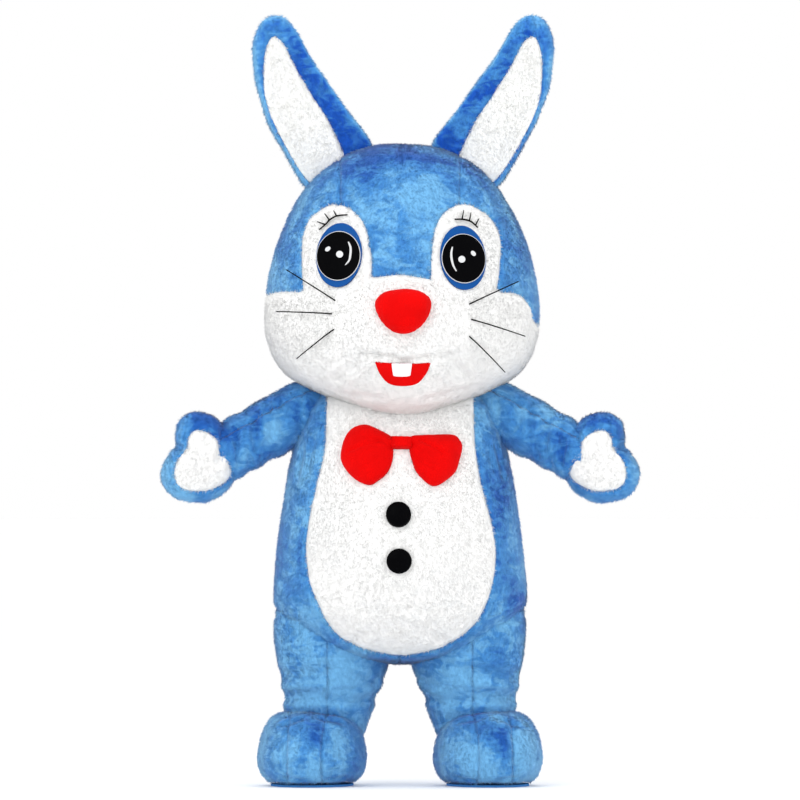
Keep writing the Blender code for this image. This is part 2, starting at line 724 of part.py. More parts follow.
def placed(shape, place):
    """The shape with its points moved to a place, and its faces kept pointing out."""
    shape.data.transform(place)
    if place.determinant() < 0:
        shape.data.flip_normals()
    return shape


def outline_pair(name, outline, near, far, cutters, place=None):
    """Two bars of one outline, one a seam's gap larger: what it keeps and what it cuts."""
    inner = prism(name + "_keep", outline, near, far, cutters)
    edge = np.roll(outline, -1, axis=0) - np.roll(outline, 1, axis=0)
    normal = np.column_stack([edge[:, 1], -edge[:, 0]])
    normal /= np.linalg.norm(normal, axis=1)[:, None]
    following = np.roll(outline, -1, axis=0)
    area = np.sum(outline[:, 0] * following[:, 1] - following[:, 0] * outline[:, 1])
    wider = outline + normal * math.copysign(SEAM, area)
    outer = prism(name + "_cut", wider, near, far, cutters)
    if place is not None:
        placed(inner, place)
        placed(outer, place)
    return inner, outer


def make_trunk(forms, cutters, suit):
    """The belly, two front sides and two backs, with the neck, arm and leg holes."""
    trunk = forms["trunk"]
    holes = [forms["head"].bore]
    for side in SIDES:
        holes += [forms["sleeve_" + side].bore, forms["leg_" + side].bore]
    outline = cornered_outline(BELLY_OUTLINE, BELLY_CORNERS)
    belly, belly_hole = outline_pair("belly", outline, -FAR, 0.0, cutters)
    cut_panel("belly", trunk, suit, "white_plush", [belly], holes)
    slot = block(
        "zip_slot",
        (-ZIP_SLOT, 0.0, ZIP_BOTTOM),
        (ZIP_SLOT, FAR, ZIP_TOP),
        cutters,
    )
    for side, sign in SIDES.items():
        near, far = sorted((sign * SEAM / 2, sign * FAR))
        front = block("front_region_" + side, (near, -FAR, 0), (far, -SEAM / 2, FAR), cutters)
        back = block("back_region_" + side, (near, SEAM / 2, 0), (far, FAR, FAR), cutters)
        name = "front_side_" + side
        cut_panel(name, trunk, suit, "blue_plush", [front], [belly_hole, *holes])
        cut_panel("back_" + side, trunk, suit, "blue_plush", [back], [slot, *holes])


def make_head(forms, cutters, suit):
    """The white face, the crown panel between two seams, two sides and the back."""
    head = forms["head"]
    drop = [forms["trunk"].clear]
    for side in SIDES:
        drop += [forms["ear_" + side].bore, forms["sleeve_" + side].clear]
    outline = cornered_outline(FACE_OUTLINE, FACE_CORNERS)
    face, face_hole = outline_pair("face", outline, -FAR, FACE_BACK_EDGE, cutters)
    face_hole.data.transform(Matrix.Translation((0, SEAM, 0)))
    cut_panel("face", head, suit, "white_plush", [face], drop)
    crown = block(
        "crown_region",
        (-CROWN_SEAM + SEAM / 2, -FAR, 0),
        (CROWN_SEAM - SEAM / 2, FACE_BACK_EDGE, FAR),
        cutters,
    )
    cut_panel("crown", head, suit, "blue_plush", [crown], [face_hole, *drop])
    for side, sign in SIDES.items():
        near, far = sorted((sign * (CROWN_SEAM + SEAM / 2), sign * FAR))
        low, high = (near, -FAR, 0), (far, FACE_BACK_EDGE, FAR)
        half = block("head_side_" + side + "_region", low, high, cutters)
        name = "head_side_" + side
        cut_panel(name, head, suit, "blue_plush", [half], [face_hole, *drop])
    rear = block(
        "head_back_region",
        (-FAR, FACE_BACK_EDGE + SEAM, 0),
        (FAR, FAR, FAR),
        cutters,
    )
    cut_panel("head_back", head, suit, "blue_plush", [rear], [face_hole, *drop])


def make_ears(forms, cutters, suit):
    """Each ear: a front border, a white lining set in it, and the back."""
    for side in SIDES:
        ear = forms["ear_" + side]
        place = ear_place(side)
        trim = [forms["head"].clear]
        outline = even_outline(EAR_LINING_OUTLINE, LINING_POINTS)
        lining, hole = outline_pair("ear_" + side, outline, -FAR, -SEAM / 2, cutters, place)
        front = block("ear_front_region_" + side, (-ROOM, -ROOM, -ROOM), (ROOM, -SEAM / 2, ROOM), cutters)
        back = block("ear_back_region_" + side, (-ROOM, SEAM / 2, -ROOM), (ROOM, ROOM, ROOM), cutters)
        placed(front, place)
        placed(back, place)
        cut_panel("ear_lining_" + side, ear, suit, "white_plush", [lining], trim)
        cut_panel("ear_border_" + side, ear, suit, "blue_plush", [front], [hole, *trim])
        cut_panel("ear_back_" + side, ear, suit, "blue_plush", [back], trim)


def make_arms(forms, cutters, suit):
    """Each sleeve in a top and an under panel, and each mitt with its white palm."""
    for side in SIDES:
        sleeve = forms["sleeve_" + side]
        mitt = forms["mitt_" + side]
        turn = Matrix.Rotation(SLEEVE_SEAM_TURN, 4, "X")
        drop = Matrix.Rotation(ARM_DROP, 4, "Y")
        reach = Matrix.Rotation(-ARM_REACH, 4, "Z")
        place = side_place(side, Matrix.Translation(SHOULDER) @ reach @ drop @ turn)
        trim = [forms["trunk"].clear, mitt.clear]
        for part, low, high in (("top", SEAM / 2, ROOM), ("under", -ROOM, -SEAM / 2)):
            name = f"sleeve_{part}_{side}"
            half = block(name + "_region", (-ROOM, -ROOM, low), (ROOM, ROOM, high), cutters)
            placed(half, place)
            cut_panel(name, sleeve, suit, "blue_plush", [half], trim)
        outline = even_outline(PALM_OUTLINE, PALM_POINTS)
        place = side_place(side, Matrix.Translation(MITT_PLACE))
        palm, hole = outline_pair("palm_" + side, outline, -FAR, 0.0, cutters, place)
        cut_panel("palm_" + side, mitt, suit, "white_plush", [palm])
        cut_panel("mitt_" + side, mitt, suit, "blue_plush", drop=[hole, sleeve.bore])


def make_legs(forms, cutters, suit):
    """Each leg in an inner and an outer panel that meet in a front and a back seam."""
    for side, sign in SIDES.items():
        leg = forms["leg_" + side]
        trim = [forms["trunk"].clear, forms["foot_" + side].clear]
        middle = LEG_RINGS[3].centre
        for part, low, high in (
            ("inner", 0.0, middle - SEAM / 2),
            ("outer", middle + SEAM / 2, FAR),
        ):
            near, far = sorted((sign * low, sign * high))
            name = f"leg_{part}_{side}"
            half = block(name + "_region", (near, -FAR, 0), (far, FAR, FAR), cutters)
            cut_panel(name, leg, suit, "blue_plush", [half], trim)


def make_feet(forms, cutters, suit):
    """Each foot cover in a toe and two side panels, over a flat sole."""
    bottom = SOLE_THICKNESS + SEAM
    for side in SIDES:
        foot = forms["foot_" + side]
        place = foot_place(side)
        hole = [forms["leg_" + side].bore]
        inner, outer = TOE_SEAMS
        toe = block(
            "toe_region_" + side,
            (inner + SEAM, -ROOM, bottom),
            (outer - SEAM, 0.0, ROOM),
            cutters,
        )
        gap = block("toe_gap_" + side, (inner, -ROOM, -ROOM), (outer, SEAM, ROOM), cutters)
        placed(toe, place)
        placed(gap, place)
        cut_panel("foot_toe_" + side, foot, suit, "blue_plush", [toe], hole)
        for part, low, high in (("inner", -ROOM, -SEAM / 2), ("outer", SEAM / 2, ROOM)):
            name = f"foot_{part}_{side}"
            region = block(name + "_region", (low, -ROOM, bottom), (high, ROOM, ROOM), cutters)
            placed(region, place)
            cut_panel(name, foot, suit, "blue_plush", [region], [gap, *hole])
        slab = block("sole_region_" + side, (-ROOM, -ROOM, 0), (ROOM, ROOM, SOLE_THICKNESS), cutters)
        sole = bpy.data.objects.new("sole_" + side, foot.outer.data.copy())
        sole.data.materials.append(make_material("sole_rubber"))
        suit.objects.link(sole)
        add_boolean(sole, "INTERSECT", slab)


def ellipse(half_width, half_height, lean=0.0):
    """An ellipse as an outline, leaning by an angle."""
    angles = 2 * math.pi * np.arange(PAD_POINTS) / PAD_POINTS
    across, up = half_width * np.cos(angles), half_height * np.sin(angles)
    turned = across * math.cos(lean) + up * math.sin(lean)
    return np.column_stack([turned, up * math.cos(lean) - across * math.sin(lean)])


def flat_layers(thickness):
    """Layers of a plate of even thickness."""
    return [Layer(scale, thickness) for scale in PLATE_RINGS]


def make_face(forms, suit):
    """The nose, mouth, tooth, eye plates and whiskers on the white face."""
    head = forms["head"]
    nose = even_outline(NOSE_OUTLINE, PAD_POINTS)
    pad_on("nose", head, nose, NOSE_PLACE, NOSE_LAYERS, suit, "red_fleece")
    mouth = cornered_outline(MOUTH_OUTLINE, MOUTH_CORNERS, 2)
    felt = flat_layers(FELT)
    mouth = pad_on("mouth", head, mouth, MOUTH_PLACE, felt, suit, "red_fleece")
    tooth = cornered_outline(TOOTH_OUTLINE, TOOTH_CORNERS)
    layers = flat_layers(2 * FELT)
    pad_on("tooth", head, tooth, TOOTH_PLACE, layers, suit, "white_felt", mouth)
    for side, sign in SIDES.items():
        place = EYE_PLACE[side]
        iris = ellipse(*IRIS_SIZE, lean=-sign * EYE_LEAN)
        name = "iris_" + side
        layers = flat_layers(EYE_PLATE)
        iris = pad_on(name, head, iris, place, layers, suit, "blue_plate")
        pupil = ellipse(*PUPIL_SIZE, lean=-sign * EYE_LEAN)
        place = (place[0], place[1] - PUPIL_DROP)
        layers = flat_layers(2 * EYE_PLATE)
        pad_on("pupil_" + side, head, pupil, place, layers, suit, "black_plastic", iris)
    for number, whisker in enumerate(WHISKERS):
        make_whisker(f"whisker_{whisker.side}_{number % 3 + 1}", whisker, head, suit)


def make_whisker(name, whisker, head, suit):
    """A stiff nylon rod that starts in the cheek and stands off it more and more."""
    shares = np.linspace(0, 1, WHISKER_POINTS)
    root, tip = np.array(whisker.root), np.array(whisker.tip)
    flat = root + shares[:, None] * (tip - root)
    points, normals = on_surface(head.surface(), flat, 1.0)
    away = normals + (0, -1, 0)
    away /= np.linalg.norm(away, axis=1)[:, None]
    lifts = np.interp(shares, (0.0, 0.1, 1.0), (0.0, 2 * WHISKER_RADIUS, whisker.stand_off))
    route = points + away * lifts[:, None]
    around = 2 * math.pi * np.arange(WHISKER_SIDES) / WHISKER_SIDES
    along = Vector(route[-1] - route[0]).normalized()
    across = along.cross(Vector((0, 1, 0))).normalized()
    up = along.cross(across)
    ring = [(across * math.cos(a) + up * math.sin(a)) * WHISKER_RADIUS for a in around]
    loops = [[Vector(place) + offset for offset in ring] for place in route]
    rod = mesh_object(name, *stacked(loops, route[0], route[-1]), suit)
    rod.data.materials.append(make_material("whisker_nylon"))
    add_boolean(rod, "DIFFERENCE", head.clear)


def make_trim(forms, suit):
    """The bow in two wings and a knot, and two domed buttons down the belly."""
    trunk = forms["trunk"]
    for side in SIDES:
        wing = even_outline(BOW_WING_OUTLINE[side], PAD_POINTS)
        name = "bow_wing_" + side
        pad_on(name, trunk, wing, BOW_PLACE, BOW_LAYERS, suit, "red_fleece")
    knot = cornered_outline(KNOT_OUTLINE, (0, 1, 2, 3), 2)
    pad_on("bow_knot", trunk, knot, BOW_PLACE, KNOT_LAYERS, suit, "red_fleece")
    for place, centre in BUTTON_PLACES.items():
        disc = ellipse(BUTTON_RADIUS, BUTTON_RADIUS)
        name = f"button_{place}"
        pad_on(name, trunk, disc, centre, BUTTON_LAYERS, suit, "black_plastic", level=True)


def bar_along_x(built, radius, length, centre, segments=16):
    """A cylinder along X added to a mesh that is being built."""
    turn = Matrix.Rotation(math.pi / 2, 4, "Y")
    place = Matrix.Translation(centre) @ turn
    bmesh.ops.create_cone(
        built,
        cap_ends=True,
        segments=segments,
        radius1=radius,
        radius2=radius,
        depth=length,
        matrix=place,
    )


def solid_from(name, collection, add_shapes):
    """An object whose mesh is filled by a function."""
    mesh = bpy.data.meshes.new(name)
    built = bmesh.new()
    add_shapes(built)
    built.to_mesh(mesh)
    built.free()
    shape = bpy.data.objects.new(name, mesh)
    collection.objects.link(shape)
    return shape


def make_zip(forms, cutters, suit):
    """The closed zip up the centre back, with its slider and the pull that hangs on it."""
    trunk = forms["trunk"]
    under = -(PLUSH + SEAM + TAPE)
    for side, sign in SIDES.items():
        edges = sorted((sign * SEAM / 2, sign * TAPE_WIDTH))
        name = "zip_tape_" + side
        strip_on(name, trunk, edges, ZIP_ROWS, under, TAPE, suit, "zip_tape")
    edges = (-CHAIN_HALF, CHAIN_HALF)
    lift = under + TAPE + 2 * SEAM
    chain = strip_on("zip_chain", trunk, edges, ZIP_ROWS, lift, CHAIN_RISE, suit, "zip_metal")

    ends = [(0.0, SLIDER_HEIGHT), (0.0, SLIDER_HEIGHT - PULL_SIZE[2])]
    points, normals = on_surface(trunk.surface(), ends, -1.0)
    down = Vector(points[1] - points[0]).normalized()
    out = Vector((0, -down.z, down.y))
    frame = Matrix((Vector((1, 0, 0)), out, -down)).transposed().to_4x4()
    seat = Vector(points[0]) + out * (lift + CHAIN_RISE + 2 * SEAM)
    place = Matrix.Translation(seat) @ frame

    wide, thick, tall = SLIDER_SIZE
    low, high = (-wide / 2, -SLIDER_SINK, -tall / 2), (wide / 2, thick, tall / 2)
    slider = block("zip_slider", low, high, suit)
    add_boolean(slider, "DIFFERENCE", grown(chain, SEAM, "chain_clear", cutters))
    slider.data.materials.append(make_material("zip_metal"))
    sink = thick / 2
    rise = thick + PIN_RISE
    for number, sign in enumerate((-1, 1)):
        middle = sign * LUG_SPREAD
        half = LUG_SIZE[0] / 2
        low = (middle - half, sink, -LUG_SIZE[2] / 2)
        high = (middle + half, thick + LUG_SIZE[1], LUG_SIZE[2] / 2)
        add_boolean(slider, "UNION", placed(block(f"lug_{number}", low, high, cutters), place))
    pin = solid_from(
        "pin",
        cutters,
        lambda built: bar_along_x(built, PIN_RADIUS, 2 * LUG_SPREAD, (0, rise, 0)),
    )
    add_boolean(slider, "UNION", placed(pin, place))
    placed(slider, place)

    wide, thin, tall = PULL_SIZE
    pull = solid_from(
        "zip_pull",
        suit,
        lambda built: bar_along_x(built, EYE_RADIUS, PULL_WIDTH_AT_PIN, (0, 0, 0)),
    )
    pull.data.materials.append(make_material("zip_metal"))
    tab = block("tab", (-wide / 2, -thin / 2, -tall), (wide / 2, thin / 2, 0), cutters)
    bore = solid_from(
        "bore", cutters, lambda built: bar_along_x(built, EYE_BORE, 2 * PULL_WIDTH_AT_PIN, (0, 0, 0))
    )
    axis_place = place @ Matrix.Translation((0, rise, 0))
    for tool in (tab, bore):
        tool.matrix_world = axis_place
    pull.matrix_world = axis_place
    add_boolean(pull, "UNION", tab)
    add_boolean(pull, "DIFFERENCE", bore)


def main():
    """Clears the scene and builds the costume."""
    for shape in list(bpy.data.objects):
        bpy.data.objects.remove(shape)
    suit = bpy.data.collections.new("rabbit_costume")
    cutters = bpy.data.collections.new("cutters")
    for collection in (suit, cutters):
        bpy.context.scene.collection.children.link(collection)
    forms = make_forms(cutters)
    make_trunk(forms, cutters, suit)
    make_head(forms, cutters, suit)
    make_ears(forms, cutters, suit)
    make_arms(forms, cutters, suit)
    make_legs(forms, cutters, suit)
    make_feet(forms, cutters, suit)
    make_face(forms, suit)
    make_trim(forms, suit)
    make_zip(forms, cutters, suit)
    stance = bpy.data.objects.new("stance", None)
    suit.objects.link(stance)
    stance.location = STANCE
    for tool in cutters.objects:
        tool.hide_render = True
        tool.display_type = "WIRE"
        tool.parent = stance
    for piece in suit.objects:
        if piece.type == "MESH":
            piece.parent = stance
            piece.data.shade_smooth()
            piece.data.set_sharp_from_angle(angle=SHARP_EDGE)


main()
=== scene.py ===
"""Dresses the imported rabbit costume: plush panels with pile, face, bow, buttons and zip.

Lengths are metres. The costume's own tables are in its standing frame, which STANCE moves
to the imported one. Left and right are the wearer's, so left is +X.
"""

import logging
import math
from dataclasses import dataclass, field, replace
from enum import Enum
from functools import partial
from typing import Callable, Sequence

import bmesh
import bpy
import numpy as np
from mathutils import Matrix, Vector, noise
from mathutils.bvhtree import BVHTree
from mathutils.kdtree import KDTree


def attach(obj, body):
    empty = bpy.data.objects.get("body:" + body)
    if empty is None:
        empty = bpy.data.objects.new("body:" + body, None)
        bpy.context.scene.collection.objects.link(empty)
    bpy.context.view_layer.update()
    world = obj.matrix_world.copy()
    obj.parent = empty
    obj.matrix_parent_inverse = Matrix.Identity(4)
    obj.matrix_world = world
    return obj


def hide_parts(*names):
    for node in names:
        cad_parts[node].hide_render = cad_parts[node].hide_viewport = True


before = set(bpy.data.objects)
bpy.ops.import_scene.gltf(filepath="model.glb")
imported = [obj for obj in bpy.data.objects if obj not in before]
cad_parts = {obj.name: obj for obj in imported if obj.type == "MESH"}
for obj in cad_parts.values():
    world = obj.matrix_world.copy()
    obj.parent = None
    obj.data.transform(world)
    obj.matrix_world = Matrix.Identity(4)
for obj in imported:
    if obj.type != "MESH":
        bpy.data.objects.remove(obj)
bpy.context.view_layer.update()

LOG = logging.getLogger("rabbit_costume")
Array = np.ndarray
Pair = tuple[float, float]
Triple = tuple[float, float, float]
Colour = Triple
Shape = Callable[[Array, Array], Array]
Rule = Callable[["Form"], Array]
Piece = bpy.types.Object
Material = bpy.types.Material
Tree = bpy.types.NodeTree
Node = bpy.types.Node
Socket = bpy.types.NodeSocket

SUIT = "suit"
# The two materials of a plush
BACK, PILE = "_backing", "_pile"
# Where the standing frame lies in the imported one
STANCE = Vector((0.0, 0.0661, 0.0))
# How far off the rays start that find a form's surface
FAR = 3.0
# How far the backing lies under the pile's tips, and how deep its seams lie
BACKING = 0.0055
SEAM_DEPTH = 0.003


class Side(Enum):
    """The wearer's side that a piece is on, with its sign along X."""

    LEFT = 1.0
    RIGHT = -1.0

    @property
    def word(self) -> str:
        """The side's name, as the nodes spell it."""
        return self.name.lower()


@dataclass(frozen=True)
class Ring:
    """One section of a turned form: its height, centre, half width and two half depths."""

    height: float
    centre: float
    half_width: float
    front: float
    back: float


@dataclass(frozen=True)
class Layer:
    """One loop of a swollen form: the outline's scale and how far out it lies."""

    scale: float
    depth: float


@dataclass(frozen=True)
class Brushed:
    """A patch where the plush is made lighter (positive) or darker, as seen from the front; the
    patches hold the nap's own tone and painted shade and highlights.
    """

    place: Pair
    size: Pair
    amount: float


@dataclass(frozen=True)
class Fold:
    """A soft trough along a line, as seen from the front or the back."""

    start: Pair
    end: Pair
    depth: float
    width: float
    behind: bool = False


def table(kind: type, *rows: Sequence[float]) -> tuple:
    """Rows of numbers, each made into one entry of a kind."""
    return tuple(kind(*row) for row in rows)


# Form tables of the costume

TRUNK_RINGS = table(
    Ring, (0.404, 0.0, 0.000, 0.000, 0.000), (0.410, 0.0, 0.120, 0.118, 0.115),
    (0.432, 0.0, 0.234, 0.226, 0.210), (0.480, 0.0, 0.330, 0.303, 0.275),
    (0.555, 0.0, 0.400, 0.350, 0.314), (0.600, 0.0, 0.425, 0.366, 0.327),
    (0.650, 0.0, 0.432, 0.376, 0.336), (0.800, 0.0, 0.420, 0.378, 0.333),
    (0.950, 0.0, 0.400, 0.355, 0.322), (1.090, 0.0, 0.376, 0.318, 0.305),
    (1.210, 0.0, 0.352, 0.276, 0.282), (1.300, 0.0, 0.318, 0.226, 0.245),
    (1.350, 0.0, 0.240, 0.160, 0.180), (1.370, 0.0, 0.120, 0.080, 0.090),
    (1.374, 0.0, 0.000, 0.000, 0.000),
)
HEAD_RINGS = table(
    Ring, (1.196, 0.007, 0.000, 0.000, 0.000), (1.206, 0.007, 0.070, 0.110, 0.110),
    (1.244, 0.007, 0.135, 0.245, 0.205), (1.290, 0.007, 0.228, 0.345, 0.290),
    (1.335, 0.007, 0.318, 0.398, 0.345), (1.385, 0.007, 0.392, 0.430, 0.385),
    (1.450, 0.007, 0.440, 0.448, 0.415), (1.540, 0.007, 0.466, 0.452, 0.434),
    (1.650, 0.007, 0.464, 0.443, 0.438), (1.760, 0.007, 0.446, 0.418, 0.426),
    (1.870, 0.007, 0.411, 0.382, 0.396), (1.970, 0.007, 0.362, 0.335, 0.348),
    (2.060, 0.007, 0.296, 0.275, 0.284), (2.130, 0.007, 0.200, 0.190, 0.195),
    (2.163, 0.007, 0.100, 0.096, 0.098), (2.172, 0.007, 0.000, 0.000, 0.000),
)
LEG_RINGS = table(
    Ring, (0.120, 0.265, 0.000, 0.000, 0.000), (0.125, 0.265, 0.105, 0.105, 0.105),
    (0.165, 0.260, 0.137, 0.146, 0.150), (0.230, 0.246, 0.148, 0.160, 0.162),
    (0.268, 0.241, 0.157, 0.173, 0.175), (0.298, 0.238, 0.156, 0.172, 0.174),
    (0.335, 0.232, 0.173, 0.193, 0.191), (0.368, 0.227, 0.178, 0.194, 0.194),
    (0.430, 0.224, 0.197, 0.214, 0.208), (0.520, 0.231, 0.200, 0.210, 0.205),
    (0.570, 0.234, 0.192, 0.202, 0.198), (0.605, 0.237, 0.168, 0.180, 0.178),
    (0.650, 0.240, 0.000, 0.000, 0.000),
)
FOOT_RINGS = table(
    Ring, (-0.040, 0.0, 0.000, 0.000, 0.000), (-0.030, 0.0, 0.098, 0.160, 0.150),
    (0.006, 0.0, 0.142, 0.224, 0.208), (0.038, 0.0, 0.173, 0.260, 0.236),
    (0.085, 0.0, 0.187, 0.275, 0.246), (0.135, 0.0, 0.182, 0.264, 0.240),
    (0.200, 0.0, 0.162, 0.216, 0.222), (0.248, 0.0, 0.116, 0.130, 0.180),
    (0.268, 0.0, 0.000, 0.000, 0.000),
)
SLEEVE_RINGS = table(
    Ring, (-0.130, 0.0, 0.000, 0.000, 0.000), (-0.112, 0.0, 0.072, 0.072, 0.072),
    (-0.040, 0.0, 0.101, 0.108, 0.108), (0.040, 0.0, 0.103, 0.110, 0.110),
    (0.115, 0.0, 0.106, 0.110, 0.110), (0.165, 0.0, 0.100, 0.103, 0.103),
    (0.210, 0.0, 0.105, 0.107, 0.107), (0.248, 0.0, 0.100, 0.099, 0.099),
    (0.285, 0.0, 0.105, 0.100, 0.100), (0.340, 0.0, 0.096, 0.084, 0.084),
    (0.392, 0.0, 0.062, 0.052, 0.052), (0.405, 0.0, 0.000, 0.000, 0.000),
)
FOOT_PLACE = Vector((0.296, -0.060, 0.0))
FOOT_TURN = math.radians(6)
SOLE_THICKNESS = 0.008
TOE_SEAMS = (-0.062, 0.062)
LEG_SEAM = 0.246
SHOULDER = Vector((0.346, 0.0, 1.258))
ARM_DROP = math.radians(28)
ARM_REACH = math.radians(12)
SLEEVE_SEAM_TURN = math.radians(-36)

MITT_PLACE = Vector((0.670, -0.078, 1.100))
MITT_OUTLINE = (
    (0.014, 0.166), (0.052, 0.159), (0.083, 0.132), (0.093, 0.090), (0.092, 0.052),
    (0.108, 0.027), (0.135, -0.012), (0.142, -0.059), (0.125, -0.104), (0.087, -0.135),
    (0.038, -0.149), (-0.014, -0.149), (-0.066, -0.125), (-0.108, -0.088),
    (-0.124, -0.035), (-0.116, 0.040), (-0.094, 0.100), (-0.066, 0.138), (-0.028, 0.159),
)
MITT_LAYERS = table(
    Layer, (0.0, -0.085), (0.38, -0.081), (0.72, -0.066), (0.92, -0.036), (1.0, 0.0),
    (0.94, 0.032), (0.78, 0.060), (0.45, 0.082), (0.0, 0.090),
)
PALM_OUTLINE = (
    (0.021, 0.102), (-0.017, 0.097), (-0.052, 0.073), (-0.075, 0.036), (-0.102, -0.010),
    (-0.108, -0.050), (-0.076, -0.085), (-0.018, -0.109), (0.051, -0.106),
    (0.088, -0.079), (0.094, -0.031), (0.078, 0.008), (0.050, 0.042), (0.045, 0.075),
)
EAR_OUTLINE = (
    (0.000, -0.090), (0.100, -0.075), (0.140, -0.015), (0.157, 0.105), (0.169, 0.230),
    (0.163, 0.345), (0.134, 0.448), (0.106, 0.510), (0.052, 0.562), (0.000, 0.565),
    (-0.032, 0.538), (-0.050, 0.480), (-0.061, 0.385), (-0.085, 0.280), (-0.115, 0.140),
    (-0.140, 0.015), (-0.100, -0.070),
)
EAR_CENTRE = (0.030, 0.230)
EAR_LAYERS = table(
    Layer, (0.0, -0.012), (0.42, -0.016), (0.78, -0.034), (0.93, -0.030), (1.0, 0.0),
    (0.92, 0.028), (0.60, 0.058), (0.0, 0.068),
)
EAR_LINING_OUTLINE = (
    (0.020, -0.110), (0.085, -0.060), (0.122, 0.010), (0.146, 0.140), (0.146, 0.285),
    (0.117, 0.385), (0.078, 0.460), (0.036, 0.494), (0.014, 0.455), (0.008, 0.375),
    (-0.008, 0.261), (-0.028, 0.148), (-0.032, 0.032), (-0.024, -0.070),
)
EAR_LEAN = {Side.LEFT: math.radians(24), Side.RIGHT: math.radians(22.8)}
EAR_PLACE = {
    Side.LEFT: Vector((0.221, 0.010, 2.094)),
    Side.RIGHT: Vector((-0.208, 0.010, 2.089)),
}
EAR_TURN = math.radians(8)
MUZZLE_PLACE = (0.0, 1.540)
MUZZLE_SPREAD = (0.250, 0.130)
MUZZLE_DEPTH = 0.070
CROWN_SEAM = 0.205
FACE_BACK_EDGE = 0.060

BELLY_OUTLINE = (
    (0.000, 0.438), (0.068, 0.446), (0.149, 0.468), (0.216, 0.509), (0.264, 0.554),
    (0.294, 0.612), (0.315, 0.680), (0.326, 0.755), (0.325, 0.830), (0.308, 0.915),
    (0.277, 1.030), (0.258, 1.150), (0.250, 1.420), (-0.250, 1.420), (-0.257, 1.150),
    (-0.283, 1.030), (-0.309, 0.915), (-0.321, 0.815), (-0.315, 0.725),
    (-0.301, 0.665), (-0.276, 0.609), (-0.250, 0.554), (-0.208, 0.505),
    (-0.152, 0.470), (-0.071, 0.446),
)
BELLY_CORNERS = (12, 13)
FACE_OUTLINE = (
    (0.600, 1.100), (0.600, 1.500), (0.470, 1.555), (0.446, 1.615), (0.405, 1.658),
    (0.326, 1.664), (0.338, 1.721), (0.345, 1.826), (0.331, 1.883), (0.294, 1.931),
    (0.223, 1.964), (0.159, 1.941), (0.122, 1.883), (0.108, 1.789), (0.106, 1.707),
    (0.003, 1.724), (-0.098, 1.714), (-0.098, 1.789), (-0.118, 1.883), (-0.162, 1.941),
    (-0.230, 1.964), (-0.298, 1.927), (-0.325, 1.883), (-0.338, 1.809),
    (-0.331, 1.663), (-0.436, 1.663), (-0.600, 1.600), (-0.600, 1.100),
)
FACE_CORNERS = (0, 1, 5, 14, 16, 24, 26, 27)

# Face pieces
NOSE_PLACE = (0.010, 1.598)
NOSE_OUTLINE = (
    (0.000, 0.062), (0.050, 0.056), (0.082, 0.036), (0.090, 0.010), (0.075, -0.030),
    (0.044, -0.061), (0.002, -0.075), (-0.040, -0.063), (-0.073, -0.030),
    (-0.089, 0.010), (-0.080, 0.036), (-0.048, 0.057),
)
NOSE_LAYERS = table(
    Layer, (1.0, 0.018), (0.92, 0.036), (0.70, 0.056), (0.38, 0.066), (0.0, 0.069),
)
MOUTH_PLACE = (0.010, 1.393)
MOUTH_OUTLINE = (
    (-0.092, 0.034), (-0.045, 0.030), (0.000, 0.028), (0.045, 0.028), (0.092, 0.032),
    (0.076, -0.004), (0.046, -0.036), (0.000, -0.044), (-0.046, -0.036),
    (-0.076, -0.004),
)
MOUTH_CORNERS = (0, 4)
MOUTH_CLEAR = (0.0, 0.009)
TOOTH_PLACE = (0.006, 1.400)
TOOTH_OUTLINE = (
    (-0.034, 0.025), (0.034, 0.025), (0.030, -0.004), (0.023, -0.017),
    (-0.023, -0.017), (-0.030, -0.006),
)
TOOTH_CORNERS = (0, 1)
EYE_PLACE = {Side.LEFT: (0.211, 1.778), Side.RIGHT: (-0.204, 1.787)}
EYE_LEAN = math.radians(7)
IRIS_SIZE = (0.075, 0.107)
PUPIL_SIZE = (0.070, 0.080)
PUPIL_DROP = 0.004
BOW_PLACE = (0.005, 1.156)
BOW_WING_OUTLINE = {
    Side.LEFT: (
        (0.027, 0.020), (0.065, 0.026), (0.106, 0.028), (0.171, 0.027), (0.192, 0.010),
        (0.201, -0.014), (0.192, -0.058), (0.176, -0.101), (0.130, -0.137),
        (0.096, -0.139), (0.052, -0.098), (0.036, -0.059), (0.027, -0.022),
    ),
    Side.RIGHT: (
        (-0.027, 0.018), (-0.080, 0.048), (-0.120, 0.061), (-0.160, 0.050),
        (-0.187, 0.018), (-0.201, -0.037), (-0.194, -0.074), (-0.160, -0.117),
        (-0.110, -0.139), (-0.076, -0.122), (-0.050, -0.100), (-0.032, -0.064),
        (-0.027, -0.020),
    ),
}
BOW_LAYERS = table(Layer, (1.0, 0.008), (0.88, 0.024), (0.62, 0.036), (0.30, 0.038), (0.0, 0.036))
KNOT_OUTLINE = (
    (-0.034, 0.020), (0.034, 0.019), (0.034, -0.018), (-0.034, -0.018),
)
KNOT_LAYERS = table(Layer, (1.0, 0.012), (0.86, 0.022), (0.60, 0.027), (0.0, 0.028))
BUTTON_RADIUS = 0.0425
BUTTON_PLACES = {"upper": (-0.005, 0.918), "lower": (-0.003, 0.762)}
BUTTON_LAYERS = table(
    Layer, (1.0, 0.006), (0.93, 0.014), (0.68, 0.021), (0.35, 0.024), (0.0, 0.025),
)

# The back zip
ZIP_TOP = 1.180
ZIP_BOTTOM = 0.600
ZIP_SLOT = 0.012
